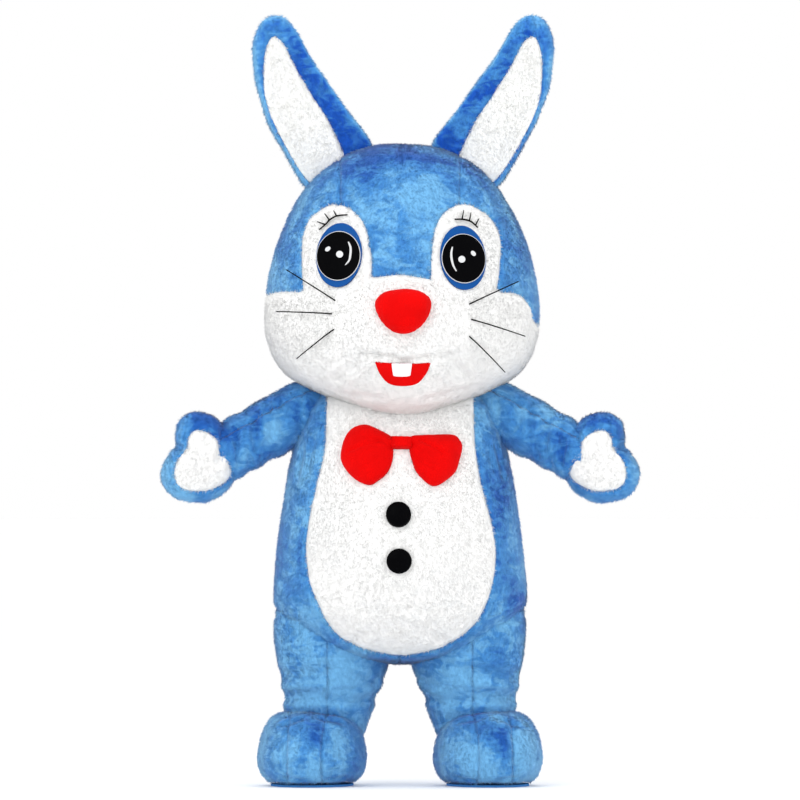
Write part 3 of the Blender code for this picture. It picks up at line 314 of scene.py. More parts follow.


# Part of these patches is the nap's own uneven tone and part is painted light: the dark band where
# the legs meet the trunk, the dark patches where the sleeves meet it and the narrow light ridges
# beside the sleeve folds are painted shade and highlights.
NAP_AND_PAINTED_LIGHT = table(
    Brushed, ((0.00, 2.140), (0.30, 0.060), -0.60), ((-0.16, 2.060), (0.10, 0.035), -0.20),
    ((0.05, 1.970), (0.20, 0.060), 0.26), ((-0.05, 1.895), (0.09, 0.060), 0.22),
    ((0.06, 1.900), (0.05, 0.050), -0.18), ((-0.055, 1.810), (0.035, 0.070), 0.22),
    ((0.05, 1.750), (0.06, 0.035), -0.20), ((-0.33, 1.960), (0.07, 0.050), 0.18),
    ((-0.43, 1.760), (0.035, 0.120), 0.16), ((-0.385, 1.830), (0.030, 0.070), -0.20),
    ((0.36, 1.930), (0.06, 0.060), 0.12), ((0.44, 1.740), (0.035, 0.120), -0.10),
    ((0.385, 1.760), (0.025, 0.070), 0.18), ((-0.355, 1.255), (0.055, 0.045), -0.40),
    ((-0.310, 1.215), (0.025, 0.050), 0.22), ((-0.326, 1.245), (0.006, 0.080), 0.45),
    ((0.332, 1.245), (0.006, 0.080), 0.45), ((-0.475, 1.215), (0.020, 0.065), -0.42),
    ((-0.425, 1.190), (0.030, 0.050), 0.18), ((-0.375, 1.135), (0.028, 0.050), -0.35),
    ((-0.535, 1.120), (0.030, 0.045), 0.16), ((-0.550, 1.180), (0.020, 0.060), -0.30),
    ((-0.670, 1.235), (0.060, 0.026), -0.62), ((-0.600, 1.195), (0.030, 0.035), -0.50),
    ((-0.790, 1.060), (0.040, 0.060), 0.30), ((-0.690, 0.975), (0.090, 0.025), 0.24),
    ((0.370, 1.240), (0.050, 0.060), -0.34), ((0.455, 1.190), (0.025, 0.060), -0.25),
    ((0.410, 1.180), (0.020, 0.050), 0.22), ((0.540, 1.150), (0.030, 0.060), -0.20),
    ((0.660, 1.235), (0.060, 0.026), -0.45), ((0.785, 1.060), (0.040, 0.060), 0.20),
    ((-0.340, 1.040), (0.030, 0.100), 0.20), ((-0.385, 0.920), (0.030, 0.120), 0.12),
    ((-0.350, 0.760), (0.040, 0.090), -0.28), ((-0.360, 0.650), (0.060, 0.060), -0.36),
    ((-0.420, 0.640), (0.020, 0.070), 0.22), ((0.340, 0.980), (0.035, 0.120), -0.30),
    ((0.385, 0.850), (0.022, 0.120), 0.18), ((0.370, 0.720), (0.050, 0.080), -0.14),
    ((0.400, 0.620), (0.040, 0.070), -0.28), ((0.000, 0.420), (0.200, 0.024), -0.35),
    ((-0.190, 0.370), (0.075, 0.090), 0.40), ((-0.370, 0.400), (0.060, 0.120), -0.22),
    ((-0.300, 0.290), (0.080, 0.040), 0.36), ((0.210, 0.370), (0.075, 0.090), 0.40),
    ((0.340, 0.470), (0.060, 0.050), -0.24), ((0.330, 0.300), (0.070, 0.050), 0.32),
    ((-0.285, 0.185), (0.040, 0.070), -0.85), ((-0.330, 0.100), (0.025, 0.060), -0.45),
    ((-0.270, 0.060), (0.040, 0.045), 0.62), ((-0.405, 0.130), (0.045, 0.080), 0.46),
    ((-0.180, 0.160), (0.050, 0.050), 0.30), ((0.280, 0.190), (0.060, 0.050), -0.55),
    ((0.350, 0.130), (0.022, 0.060), -0.60), ((0.240, 0.090), (0.050, 0.060), 0.48),
    ((0.420, 0.130), (0.040, 0.080), 0.46),
)


def brushed(points: Array) -> Array:
    """How light or dark the plush is at points in the standing frame, from the nap's tone and its
    painted shade and highlights.

    The back has the front's patches turned over, so that both sides are as uneven.
    """
    across = np.where(points[:, 1] > 0.02, -points[:, 0], points[:, 0])
    found = np.zeros(len(points))
    for patch in NAP_AND_PAINTED_LIGHT:
        away = ((across - patch.place[0]) / patch.size[0]) ** 2
        away += ((points[:, 2] - patch.place[1]) / patch.size[1]) ** 2
        found += patch.amount * np.exp(-away)
    return found


def smooth_run(points: Sequence[Sequence[float]], steps: int, closed: bool) -> Array:
    """A smooth curve through points.

    Args:
        points: the points that it passes.
        steps: how many stretches lie between two of them.
        closed: whether it comes back to its start.

    Returns:
        The curve's points, one a row.
    """
    given = np.array(points, float)
    count = len(given)
    spans = count if closed else count - 1
    places = np.arange(spans * steps + (0 if closed else 1)) / steps
    first = np.minimum(places.astype(int), spans - 1)
    share = (places - first)[:, None]
    near = [first - 1, first, first + 1, first + 2]
    picks = [given[i % count] if closed else given[np.clip(i, 0, count - 1)] for i in near]
    before, start, end, after = picks
    slope_in, slope_out = (end - before) / 2, (after - start) / 2
    return (
        (2 * share**3 - 3 * share**2 + 1) * start
        + (share**3 - 2 * share**2 + share) * slope_in
        + (3 * share**2 - 2 * share**3) * end
        + (share**3 - share**2) * slope_out
    )


def cornered(points: Sequence[Pair], corners: Sequence[int]) -> Array:
    """A closed outline that is smooth between its corners and sharp at them."""
    count = len(points)
    runs = []
    for number, corner in enumerate(corners):
        following = corners[(number + 1) % len(corners)]
        length = (following - corner) % count or count
        stretch = [points[(corner + i) % count] for i in range(length + 1)]
        runs.append(smooth_run(stretch, 6 if length > 1 else 4, False)[:-1])
    return np.vstack(runs)


def around(outline: Array, turns: Array) -> Array:
    """Points on a closed outline at shares of its length, from 0 to 1."""
    loop = np.vstack([outline, outline[:1]])
    lengths = np.linalg.norm(np.diff(loop, axis=0), axis=1)
    run = np.concatenate([[0], np.cumsum(lengths)])
    marks = np.mod(turns, 1.0) * run[-1]
    return np.column_stack([np.interp(marks, run, loop[:, i]) for i in range(2)])


def ellipse(half_width: float, half_height: float, lean: float = 0.0) -> Array:
    """An ellipse as a fine outline, leaning by an angle."""
    angles = 2 * math.pi * np.arange(96) / 96
    across, up = half_width * np.cos(angles), half_height * np.sin(angles)
    turned = across * math.cos(lean) + up * math.sin(lean)
    return np.column_stack([turned, up * math.cos(lean) - across * math.sin(lean)])


def from_outline(flat: Array, outline: Array) -> Array:
    """The distance of flat points from an outline, negative inside it."""
    start, end = outline, np.roll(outline, -1, axis=0)
    run = end - start
    found = np.empty(len(flat))
    for low in range(0, len(flat), 4000):
        part = flat[low:low + 4000]
        off = part[:, None, :] - start[None]
        share = np.clip((off * run).sum(-1) / (run * run).sum(-1), 0, 1)
        near = np.sqrt(((off - share[..., None] * run) ** 2).sum(-1)).min(1)
        up = part[:, 1][:, None]
        meets = (start[:, 1] > up) != (end[:, 1] > up)
        rise = np.where(run[:, 1] == 0, 1.0, run[:, 1])
        across = start[:, 0] + (up - start[:, 1]) / rise * run[:, 0]
        inside = (meets & (part[:, 0][:, None] < across)).sum(1) % 2 == 1
        found[low:low + 4000] = np.where(inside, -near, near)
    return found


def from_line(points: Array, start: Array, run: Array) -> Array:
    """How far points lie from a line, given by its start and its run."""
    share = np.clip((points - start) @ run / max(run @ run, 1e-9), 0, 1)
    return np.linalg.norm(points - start - share[:, None] * run, axis=1)


def unit_rows(rows: Array) -> Array:
    """Vectors, each made one long."""
    return rows / np.maximum(np.linalg.norm(rows, axis=1), 1e-9)[:, None]


def face_areas(points: Array, triangles: Array) -> Array:
    """The area of each triangle."""
    first, second, third = (points[triangles[:, i]] for i in range(3))
    return np.linalg.norm(np.cross(second - first, third - first), axis=1) / 2


def tidy_select(*shapes: Piece) -> None:
    """Selects only these objects, and makes the first one active."""
    bpy.ops.object.select_all(action="DESELECT")
    for shape in shapes:
        shape.select_set(True)
    bpy.context.view_layer.objects.active = shapes[0]


def primitive(add: Callable[..., object], name: str, **sizes: float) -> Piece:
    """A new mesh primitive, added by its operator and named."""
    bpy.ops.object.select_all(action="DESELECT")
    add(**sizes)
    made = bpy.context.active_object
    made.name = name
    return made


def in_edit_mode(*steps: Callable[[], object]) -> None:
    """Runs steps on the whole mesh of the active object, in edit mode."""
    bpy.ops.object.mode_set(mode="EDIT")
    bpy.ops.mesh.select_all(action="SELECT")
    for step in steps:
        step()
    bpy.ops.object.mode_set(mode="OBJECT")


def face_outwards() -> None:
    """Turns the edited faces outwards."""
    bpy.ops.mesh.normals_make_consistent(inside=False)


def to_triangles() -> None:
    """Cuts the edited faces into triangles."""
    bpy.ops.mesh.quads_convert_to_tris(quad_method="SHORTEST_DIAGONAL")


def weld() -> None:
    """Joins edited points that lie on each other."""
    bpy.ops.mesh.remove_doubles(threshold=0.00002)


def point_array(mesh: bpy.types.Mesh) -> Array:
    """The mesh's points, one a row."""
    found = np.empty(len(mesh.vertices) * 3)
    mesh.vertices.foreach_get("co", found)
    return found.reshape(-1, 3)


def normal_array(mesh: bpy.types.Mesh) -> Array:
    """The mesh's point normals, one a row."""
    found = np.empty(len(mesh.vertices) * 3, np.float32)
    mesh.vertex_normals.foreach_get("vector", found)
    return found.reshape(-1, 3).astype(float)


def triangle_array(mesh: bpy.types.Mesh) -> Array:
    """The corners of the mesh's triangles, one triangle a row."""
    mesh.calc_loop_triangles()
    found = np.empty(len(mesh.loop_triangles) * 3, np.int32)
    mesh.loop_triangles.foreach_get("vertices", found)
    return found.reshape(-1, 3)


def shaped_ball(name: str, columns: int, rows: int,
                shape: Shape) -> Piece:
    """A ball primitive whose points are moved to a closed form.

    Args:
        name: the object's name.
        columns: points round it.
        rows: rows from pole to pole.
        shape: gives points from the share of the way between the poles and the turn.

    Returns:
        The object, in triangles, with its faces pointing out.
    """
    ball = primitive(bpy.ops.mesh.primitive_uv_sphere_add, name,
                     segments=columns, ring_count=rows, radius=1.0)
    ball.data.name = name
    unit = point_array(ball.data)
    share = 1 - np.arccos(np.clip(unit[:, 2], -1, 1)) / math.pi
    angle = np.arctan2(unit[:, 1], unit[:, 0])
    moved = shape(share, angle)
    ball.data.vertices.foreach_set("co", moved.ravel())
    while ball.data.uv_layers:
        ball.data.uv_layers.remove(ball.data.uv_layers[0])
    in_edit_mode(to_triangles, face_outwards)
    ball.data.shade_smooth()
    return ball


def ring_shape(rings: Sequence[Ring]) -> Shape:
    """The shape through a table of rings, for a ball primitive."""
    rows = [(r.height, r.centre, r.half_width, r.front, r.back) for r in rings]
    fine = smooth_run(rows, 16, False)

    def shape(share: Array, angle: Array) -> Array:
        """Points on the rings at each share and turn."""
        marks = share * (len(fine) - 1)
        columns = [np.interp(marks, np.arange(len(fine)), fine[:, i]) for i in range(5)]
        height, centre, half, front, back = columns
        depth = np.where(np.sin(angle) < 0, front, back)
        return np.column_stack(
            [centre + half * np.cos(angle), depth * np.sin(angle), height]
        )

    return shape


def swollen_shape(outline: Sequence[Pair], layers: Sequence[Layer],
                  centre: Pair) -> Shape:
    """The shape that swells to both sides of an outline, for a ball primitive."""
    edge = smooth_run(outline, 12, True)
    fine = smooth_run([(layer.scale, layer.depth) for layer in layers], 12, False)
    middle = np.array(centre)

    def shape(share: Array, angle: Array) -> Array:
        """Points on the swollen form at each share and turn."""
        marks = share * (len(fine) - 1)
        scale = np.interp(marks, np.arange(len(fine)), fine[:, 0]).clip(0)
        depth = np.interp(marks, np.arange(len(fine)), fine[:, 1])
        flat = middle + scale[:, None] * (around(edge, angle / (2 * math.pi)) - middle)
        return np.column_stack([flat[:, 0], depth, flat[:, 1]])

    return shape


@dataclass
class Form:
    """A closed plush form of the costume, whose faces are shared out among its panels.

    local holds its points as drawn, and stand its points in the standing frame.
    """

    name: str
    columns: int
    rows: int
    shape: Shape
    place: Matrix = field(default_factory=lambda: Matrix.Identity(4))
    folds: Sequence[Fold] = ()
    seed: float = 0.0

    # How far the dip at a joint with another form reaches, and its share of a seam's depth
    JOINT_REACH, JOINT_SHARE = 0.014, 0.7
    # How far the dip at a seam reaches
    SEAM_REACH = 0.0095
    # The filling's bulges, coarse and fine: their height and how many to a metre
    COARSE, FINE = (0.0035, 7.0), (0.0022, 24.0)
    # How far the filling swells the cloth all over
    SWELL = 0.001
    # How deep inside a neighbour the cloth can't be seen, and is left out
    UNSEEN = 0.020
    # The ridge beside a fold: its share of the fold's depth, and its place in fold widths
    RIDGE, RIDGE_PLACE = 0.35, 1.9
    # How deep a panel's rim is turned in
    RIM_DEPTH = 0.005
    # How often a split looks again for edges that cross it
    SPLIT_ROUNDS = 6

    def __post_init__(self) -> None:
        """Builds the form and the tree that finds its surface."""
        self.ball = shaped_ball(self.name, self.columns, self.rows, self.shape)
        self.ball.data.transform(self.place)
        if self.place.determinant() < 0:
            self.ball.data.flip_normals()
        self.stand = point_array(self.ball.data)
        self.triangles = triangle_array(self.ball.data)
        self.pinned = np.zeros(len(self.stand), bool)
        # A form's own lift of its nap; on the ears it is a painted highlight
        self.tone = np.zeros(len(self.stand))
        self.bare: list[Array] = []
        self.values: dict[str, Array] = {}
        self.tree = BVHTree.FromPolygons(
            [Vector(p) for p in self.stand], [tuple(t) for t in self.triangles.tolist()]
        )
        ends = np.concatenate([self.triangles[:, pair] for pair in ((0, 1), (1, 2), (2, 0))])
        self.edges = np.unique(np.sort(ends, axis=1), axis=0)

    @property
    def local(self) -> Array:
        """The points as drawn, before the form is placed."""
        back = np.array(self.place.inverted())
        return self.stand @ back[:3, :3].T + back[:3, 3]

    def split(self, name: str, rule: Rule) -> None:
        """Moves points onto the line where a rule is zero, so that faces lie on one side.

        Args:
            name: what the split is called.
            rule: gives each point's signed distance from the line.
        """
        for _ in range(self.SPLIT_ROUNDS):
            value = rule(self)
            value[np.abs(value) < 1e-7] = 0.0
            if self.pinned.any() and name in self.values:
                value[self.values[name] == 0] = 0.0
            first, second = self.edges.T
            crossing = value[first] * value[second] < 0
            if not crossing.any():
                break
            first, second = first[crossing], second[crossing]
            share = value[first] / (value[first] - value[second])
            swap = share > 0.5
            pins = self.pinned[first].astype(int) - self.pinned[second].astype(int)
            swap = np.where(pins == 0, swap, pins > 0)
            mover = np.where(swap, second, first)
            anchor = np.where(swap, first, second)
            part = np.where(swap, 1 - share, share)
            order = np.argsort(-part)
            goal = self.stand.copy()
            moved = self.stand[mover] + part[:, None] * (self.stand[anchor] - self.stand[mover])
            goal[mover[order]] = moved[order]
            self.stand = goal
            value[mover] = 0.0
            self.values[name] = value
            self.pinned[mover] = True
        self.values[name] = value

    def inside(self, name: str) -> Array:
        """Which faces lie on the negative side of a split."""
        return self.values[name][self.triangles].sum(axis=1) < 0

    def distance(self, points: Array) -> Array:
        """How far points lie from this form's surface, negative inside it."""
        found = np.empty(len(points))
        for number, point in enumerate(points):
            place, normal, _, _ = self.tree.find_nearest(Vector(point))
            off = Vector(point) - place
            found[number] = math.copysign(off.length, off.dot(normal))
        return found

    def on_surface(self, flat: Array, behind: bool = False) -> tuple[Array, Array]:
        """Where points across and up meet the form, with its normals there."""
        towards = -1.0 if behind else 1.0
        points, normals = [], []
        for across, up in flat:
            start = Vector((across, -FAR * towards, up))
            hit, normal, _, _ = self.tree.ray_cast(start, Vector((0, towards, 0)))
            if hit is None:
                hit, normal, _, _ = self.tree.find_nearest(Vector((across, 0.0, up)))
            points.append(hit)
            normals.append(normal if normal.y * towards < 0 else -normal)
        return np.array(points), np.array(normals)

    def finish(self, neighbours: Sequence["Form"], panels: dict[str, Array]) -> None:
        """Sinks the form under its pile, presses seams and folds in, and hides what is inside.

        Args:
            neighbours: forms that this one is sewn to.
            panels: which faces each panel has.
        """
        self.owner = np.full(len(self.triangles), -1)
        for number, faces in enumerate(panels.values()):
            self.owner[faces] = number
        mesh = self.ball.data
        mesh.vertices.foreach_set("co", self.stand.ravel())
        mesh.update()
        normals = normal_array(mesh)
        push = np.full(len(self.stand), BACKING)
        nearest = np.full(len(self.stand), 1.0)
        for neighbour in neighbours:
            gap = neighbour.distance(self.stand)
            nearest = np.minimum(nearest, gap)
            dip = self.JOINT_SHARE * SEAM_DEPTH
            push += dip * np.exp(-((gap / self.JOINT_REACH) ** 2))
        way = self.to_seams()
        gap = np.linalg.norm(way, axis=1)
        push += SEAM_DEPTH * np.exp(-((gap / self.SEAM_REACH) ** 2))
        for fold in self.folds:
            push += self.pressed(fold)
        offset = Vector((self.seed, -self.seed, 2 * self.seed))
        (tall, few), (low, many) = self.COARSE, self.FINE
        for number, point in enumerate(self.stand):
            place = Vector(point) + offset
            push[number] -= tall * noise.noise(place * few) - self.SWELL
            push[number] -= low * noise.noise(place * many)
        self.stand = self.stand - normals * push[:, None]
        self.hidden = (nearest[self.triangles] < -self.UNSEEN).all(axis=1)
        # The nap attribute: the nap's tone with its painted shade and highlights, and the form's
        # tone
        mesh.attributes.new("nap", "FLOAT", "POINT").data.foreach_set(
            "value", brushed(self.stand) + self.tone
        )
        mesh.attributes.new("seam_way", "FLOAT_VECTOR", "POINT").data.foreach_set(
            "vector", way.ravel()
        )
        mesh.vertices.foreach_set("co", (self.stand + np.array(STANCE)).ravel())
        mesh.update()

    def to_seams(self) -> Array:
        """The way from each point to the nearest seam between two panels."""
        low = np.full(len(self.stand), 999)
        high = np.full(len(self.stand), -999)
        for corner in range(3):
            np.minimum.at(low, self.triangles[:, corner], self.owner)
            np.maximum.at(high, self.triangles[:, corner], self.owner)
        seams = np.flatnonzero(low != high)
        if not len(seams):
            return np.full_like(self.stand, 1.0)
        tree = KDTree(len(seams))
        for number in seams:
            tree.insert(self.stand[number], int(number))
        tree.balance()
        return np.array([tree.find(point)[0] for point in self.stand]) - self.stand

    def pressed(self, fold: Fold) -> Array:
        """How far one fold presses each point in."""
        start, end = np.array(fold.start), np.array(fold.end)
        flat = start + np.linspace(0, 1, 5)[:, None] * (end - start)
        line, _ = self.on_surface(flat, fold.behind)
        away = np.full(len(self.stand), 9.0)
        for first, second in zip(line[:-1], line[1:]):
            away = np.minimum(away, from_line(self.stand, first, second - first))
        beside = (away - self.RIDGE_PLACE * fold.width) / fold.width
        ridge = self.RIDGE * fold.depth * np.exp(-(beside**2))
        return fold.depth * np.exp(-((away / fold.width) ** 2)) - ridge

    def panel(self, name: str, faces: Array) -> Piece:
        """One panel: a copy of the form with only its own faces, and its rim turned in."""
        keep = faces & ~self.hidden
        copy = bpy.data.objects.new(name, self.ball.data.copy())
        copy.data.name = name
        bpy.context.collection.objects.link(copy)
        built = bmesh.new()
        built.from_mesh(copy.data)
        built.faces.ensure_lookup_table()
        gone = [built.faces[i] for i in np.flatnonzero(~keep)]
        bmesh.ops.delete(built, geom=gone, context="FACES")
        rim = [edge for edge in built.edges if edge.is_boundary]
        raised = bmesh.ops.extrude_edge_only(built, edges=rim)["geom"]
        inward = {v for v in raised if isinstance(v, bmesh.types.BMVert)}
        for vertex in inward:
            near = [e.other_vert(vertex) for e in vertex.link_edges]
            partner = next(v for v in near if v not in inward)
            vertex.co -= partner.normal * self.RIM_DEPTH
        built.to_mesh(copy.data)
        built.free()
        copy.data.shade_smooth()
        return copy


@dataclass(frozen=True)
class PileMaker:
    """Sets tufts of pile on a panel as one joined mesh of three-sided spikes."""

    density: float
    length: float
    width: float
    upright: float
    seed: int

    # How far under a piece that lies on the pile tufts still stand, and how deep they root
    EDGE, ROOT = 0.003, 0.0015
    # How far from a seam tufts lean over it and are longer and thinner, and by how much
    LEAN_REACH, FRINGE_REACH = 0.022, 0.014
    LONGER, THINNER = 0.35, 0.5
    # How much tufts stray from the nap, and the angles of a tuft's three corners
    STRAY = 0.28
    CORNERS = (0.5, 0.5 + 2.094, 0.5 + 4.189)
    # How much the panel's normal and the tuft's own way count in its shading
    SOFT = (0.94, 0.06)

    def scatter(self, panel: Piece, bare: Sequence[Array],
                chance: np.random.Generator) -> list[Array]:
        """Where tufts root, with the panel's normal, its nap (with its painted shade and
        highlights) and the way to a seam there.
        """
        points, normals = point_array(panel.data), normal_array(panel.data)
        triangles = triangle_array(panel.data)
        laid, way = np.empty(len(points)), np.empty(len(points) * 3)
        panel.data.attributes["nap"].data.foreach_get("value", laid)
        panel.data.attributes["seam_way"].data.foreach_get("vector", way)
        size = face_areas(points, triangles)
        count = int(size.sum() * self.density)
        pick = chance.choice(len(size), count, p=size / size.sum())
        share = chance.random((count, 2))
        over = share.sum(axis=1) > 1
        share[over] = 1 - share[over]
        weights = np.column_stack([1 - share.sum(axis=1), share])[:, :, None]
        corners = triangles[pick]
        roots = (points[corners] * weights).sum(axis=1)
        kept = np.ones(count, bool)
        for outline in bare:
            under = from_outline(roots[:, [0, 2]], outline) < -self.EDGE
            kept &= ~(under & (roots[:, 1] < 0.0))
        corners, weights = corners[kept], weights[kept]
        held = (points, normals, laid[:, None], way.reshape(-1, 3))
        return [(values[corners] * weights).sum(axis=1) for values in held]

    def grow(self, panel: Piece, finish: "Plush", bare: Sequence[Array]) -> Piece:
        """The pile of one panel.

        Args:
            panel: the backing that the tufts stand on.
            finish: the plush that they are of.
            bare: front outlines under which no tufts stand.

        Returns:
            The tufts as one piece.
        """
        chance = np.random.default_rng(self.seed)
        roots, up, nap, seam = self.scatter(panel, bare, chance)
        count = len(roots)
        up = unit_rows(up)
        gap = np.maximum(np.linalg.norm(seam, axis=1), 1e-6)[:, None]
        lie = self.nap(roots) + chance.normal(0, self.STRAY, (count, 3))
        lie += finish.overhang * np.exp(-((gap / self.LEAN_REACH) ** 2)) * seam / gap
        lie -= (lie * up).sum(axis=1)[:, None] * up
        lie = unit_rows(lie)
        stand = self.upright * (0.75 + 0.5 * chance.random(count))[:, None]
        reach = up * stand + lie * np.sqrt(np.maximum(0.05, 1 - stand**2))
        long = self.length * (0.65 + 0.6 * chance.random(count))[:, None]
        fringe = finish.overhang * np.exp(-((gap / self.FRINGE_REACH) ** 2))
        long *= 1 + self.LONGER * fringe
        side = np.cross(up, lie)
        wide = self.width * (0.8 + 0.5 * chance.random(count))[:, None]
        wide = wide / (1 + self.THINNER * fringe)
        base = roots - up * self.ROOT
        rings = [base + wide * (math.cos(a) * lie + math.sin(a) * side) for a in self.CORNERS]
        spots = np.stack([*rings, roots + reach * long], axis=1).reshape(-1, 3)
        number = 4 * np.arange(count)[:, None, None]
        faces = (number + np.array([[0, 1, 3], [1, 2, 3], [2, 0, 3]])[None]).reshape(-1, 3)
        # Painted shade: each tuft is darker at its root than at its tip, and each by a random
        # amount
        shade = np.empty((count, 4))
        tone = chance.random(count) * 0.45
        shade[:, :3] = tone[:, None]
        shade[:, 3] = 0.55 + tone
        soft = unit_rows(self.SOFT[0] * up + self.SOFT[1] * reach)
        return self.joined(panel.name + "_pile", spots, faces, shade, np.repeat(nap, 4), soft)

    @staticmethod
    def joined(name: str, spots: Array, faces: Array, shade: Array, nap: Array,
               soft: Array) -> Piece:
        """The tufts as one object, with their shade, nap and soft normals."""
        mesh = bpy.data.meshes.new(name)
        mesh.vertices.add(len(spots))
        mesh.vertices.foreach_set("co", spots.ravel())
        mesh.loops.add(faces.size)
        mesh.loops.foreach_set("vertex_index", faces.ravel())
        mesh.polygons.add(len(faces))
        mesh.polygons.foreach_set("loop_start", np.arange(0, faces.size, 3))
        mesh.update(calc_edges=True)
        # tuft holds painted shade at each tuft's root; nap holds the nap's tone with its painted
        # shade and highlights
        for label, values in (("tuft", shade.ravel()), ("nap", nap)):
            mesh.attributes.new(label, "FLOAT", "POINT").data.foreach_set("value", values)
        mesh.normals_split_custom_set_from_vertices(np.repeat(soft, 4, axis=0).tolist())
        tufts = bpy.data.objects.new(name, mesh)
        bpy.context.collection.objects.link(tufts)
        return tufts

    def nap(self, roots: Array) -> Array:
        """The way that the pile lies: down, with swirls."""
        x, y, z = roots.T
        swirl = np.column_stack([
            0.55 * np.sin(9 * z + 5 * x) + 0.35 * np.sin(23 * x - 7 * z + 2),
            0.50 * np.sin(8 * z - 6 * y + 1),
            0.30 * np.sin(11 * x + 9 * y),
        ])
        return swirl + (0.0, 0.0, -1.0)


# Shader nodes and finishes


class Graph:
    """The nodes of a material or a group, with short ways to add to them."""

    def __init__(self, tree: Tree) -> None:
        """Takes the node tree."""
        self.tree = tree

    def fill(self, socket: Socket, value: object) -> None:
        """Links a socket to the source of its value, or sets the value."""
        if isinstance(value, Socket):
            self.tree.links.new(value, socket)
        else:
            socket.default_value = (*value, 1.0) if socket.type == "RGBA" else value

    def node(self, kind: str, values: dict[str, object]) -> Node:
        """A shader node of a kind, with its inputs linked or set."""
        made = self.tree.nodes.new("ShaderNode" + kind)
        for label, value in values.items():
            self.fill(made.inputs[label], value)
        return made

    def math(self, operation: str, first: object, second: object) -> Socket:
        """Two sockets or numbers taken together."""
        node = self.node("Math", {})
        node.operation = operation
        self.fill(node.inputs[0], first)
        self.fill(node.inputs[1], second)
        return node.outputs[0]

    def noise(self, vector: Socket, scale: object, detail: float,
              distortion: float = 0.0) -> Socket:
        """A noise texture's factor."""
        values = {"Vector": vector, "Scale": scale, "Detail": detail, "Distortion": distortion}
        return self.node("TexNoise", values).outputs["Fac"]

    def stretched(self, vector: Socket, scale: Triple, turn: Triple = (0, 0, 0)) -> Socket:
        """A vector, scaled and turned."""
        values = {"Vector": vector, "Scale": scale, "Rotation": turn}
        return self.node("Mapping", values).outputs[0]

    def ranged(self, value: Socket, low: float, high: float,
               to_low: float = 0.0, to_high: float = 1.0) -> Socket:
        """A value mapped smoothly from one range to another."""
        node = self.node("MapRange", {
            "Value": value, "From Min": low, "From Max": high, "To Min": to_low, "To Max": to_high,
        })
        node.interpolation_type = "SMOOTHSTEP"
        return node.outputs["Result"]

    def blended(self, factor: Socket, first: object, second: object) -> Socket:
        """Two colours mixed by a factor."""
        node = self.node("Mix", {})
        node.data_type = "RGBA"
        self.fill(node.inputs["Factor"], factor)
        self.fill(node.inputs[6], first)
        self.fill(node.inputs[7], second)
        return node.outputs[2]

    def attribute(self, name: str) -> Socket:
        """A value that the mesh holds at its points."""
        node = self.node("Attribute", {})
        node.attribute_name = name
        return node.outputs["Fac"]


class Group(Graph):
    """A shared node group, with a vector and one setting going in."""

    def __init__(self, name: str, setting: str, usual: float, results: Sequence[str]) -> None:
        """Makes the group with its sockets.

        Args:
            name: the group's name.
            setting: the name of its setting.
            usual: the setting's default value.
            results: the names of what comes out.
        """
        super().__init__(bpy.data.node_groups.new(name, "ShaderNodeTree"))
        sockets = self.tree.interface
        sockets.new_socket("Vector", in_out="INPUT", socket_type="NodeSocketVector")
        made = sockets.new_socket(setting, in_out="INPUT", socket_type="NodeSocketFloat")
        made.default_value = usual
        for label in results:
            sockets.new_socket(label, in_out="OUTPUT", socket_type="NodeSocketFloat")
        start = self.tree.nodes.new("NodeGroupInput")
        self.vector, self.setting = start.outputs[0], start.outputs[1]
        self.end = self.tree.nodes.new("NodeGroupOutput")

    def give(self, *values: Socket) -> None:
        """Links what comes out, in order."""
        for socket, value in zip(self.end.inputs, values):
            self.fill(socket, value)


def nap_group() -> None:
    """Patches where the nap lies up or down, with streaks along it."""
    group = Group("brushed_nap", "Patch Scale", 5.0, ("Patches", "Streaks"))
    wide = group.stretched(group.vector, (1.0, 1.0, 0.75))
    long = group.stretched(group.vector, (0.55, 0.55, 1.0), (0.1, 0.25, 0.0))
    patches = group.noise(wide, group.setting, 3.0, 0.9)
    streaks = group.noise(long, 30.0, 4.0, 1.2)
    group.give(group.ranged(patches, 0.34, 0.66), group.ranged(streaks, 0.34, 0.68))


def pile_group() -> None:
    """The fine clumps and hairs of a pile, as a height and a shade."""
    group = Group("pile_grain", "Clump Scale", 160.0, ("Height", "Shade"))
    wide = group.stretched(group.vector, (1.0, 1.0, 0.45))
    long = group.stretched(group.vector, (1.0, 1.0, 0.25))
    clumps = group.noise(wide, group.setting, 2.0, 0.6)
    hairs = group.noise(long, 620.0, 2.0)
    height = group.math("ADD", clumps, group.math("MULTIPLY", hairs, 0.5))
    group.give(height, group.ranged(clumps, 0.3, 0.7))


def weave_group() -> None:
    """The crossing threads of a plain weave, as a height."""
    group = Group("plain_weave", "Threads", 900.0, ("Height",))
    waves = []
    for direction in ("X", "Z"):
        values = {"Vector": group.vector, "Scale": group.setting, "Distortion": 0.4}
        node = group.node("TexWave", values)
        node.bands_direction = direction
        waves.append(node.outputs["Fac"])
    group.give(group.math("MAXIMUM", *waves))


class Surface(Graph):
    """The nodes of one material, with its shader and its object coordinates."""

    def __init__(self, material: Material) -> None:
        """Takes a new material."""
        material.use_nodes = True
        super().__init__(material.node_tree)
        self.shader = self.tree.nodes["Principled BSDF"]
        self.place = self.node("TexCoord", {}).outputs["Object"]

    def shade(self, **values: object) -> None:
        """Links or sets inputs of the shader, named with low lines for spaces."""
        for label, value in values.items():
            self.fill(self.shader.inputs[label.replace("_", " ")], value)

    def grouped(self, group: str, setting: float) -> Node:
        """A shared group placed in the material, with the finish's own setting."""
        node = self.node("Group", {})
        node.node_tree = bpy.data.node_groups[group]
        self.fill(node.inputs[0], self.place)
        self.fill(node.inputs[1], setting)
        return node

    def bump(self, height: Socket, distance: float, strength: float) -> None:
        """A bump from a height into the shader's normal."""
        values = {"Height": height, "Distance": distance, "Strength": strength}
        self.shade(Normal=self.node("Bump", values).outputs[0])


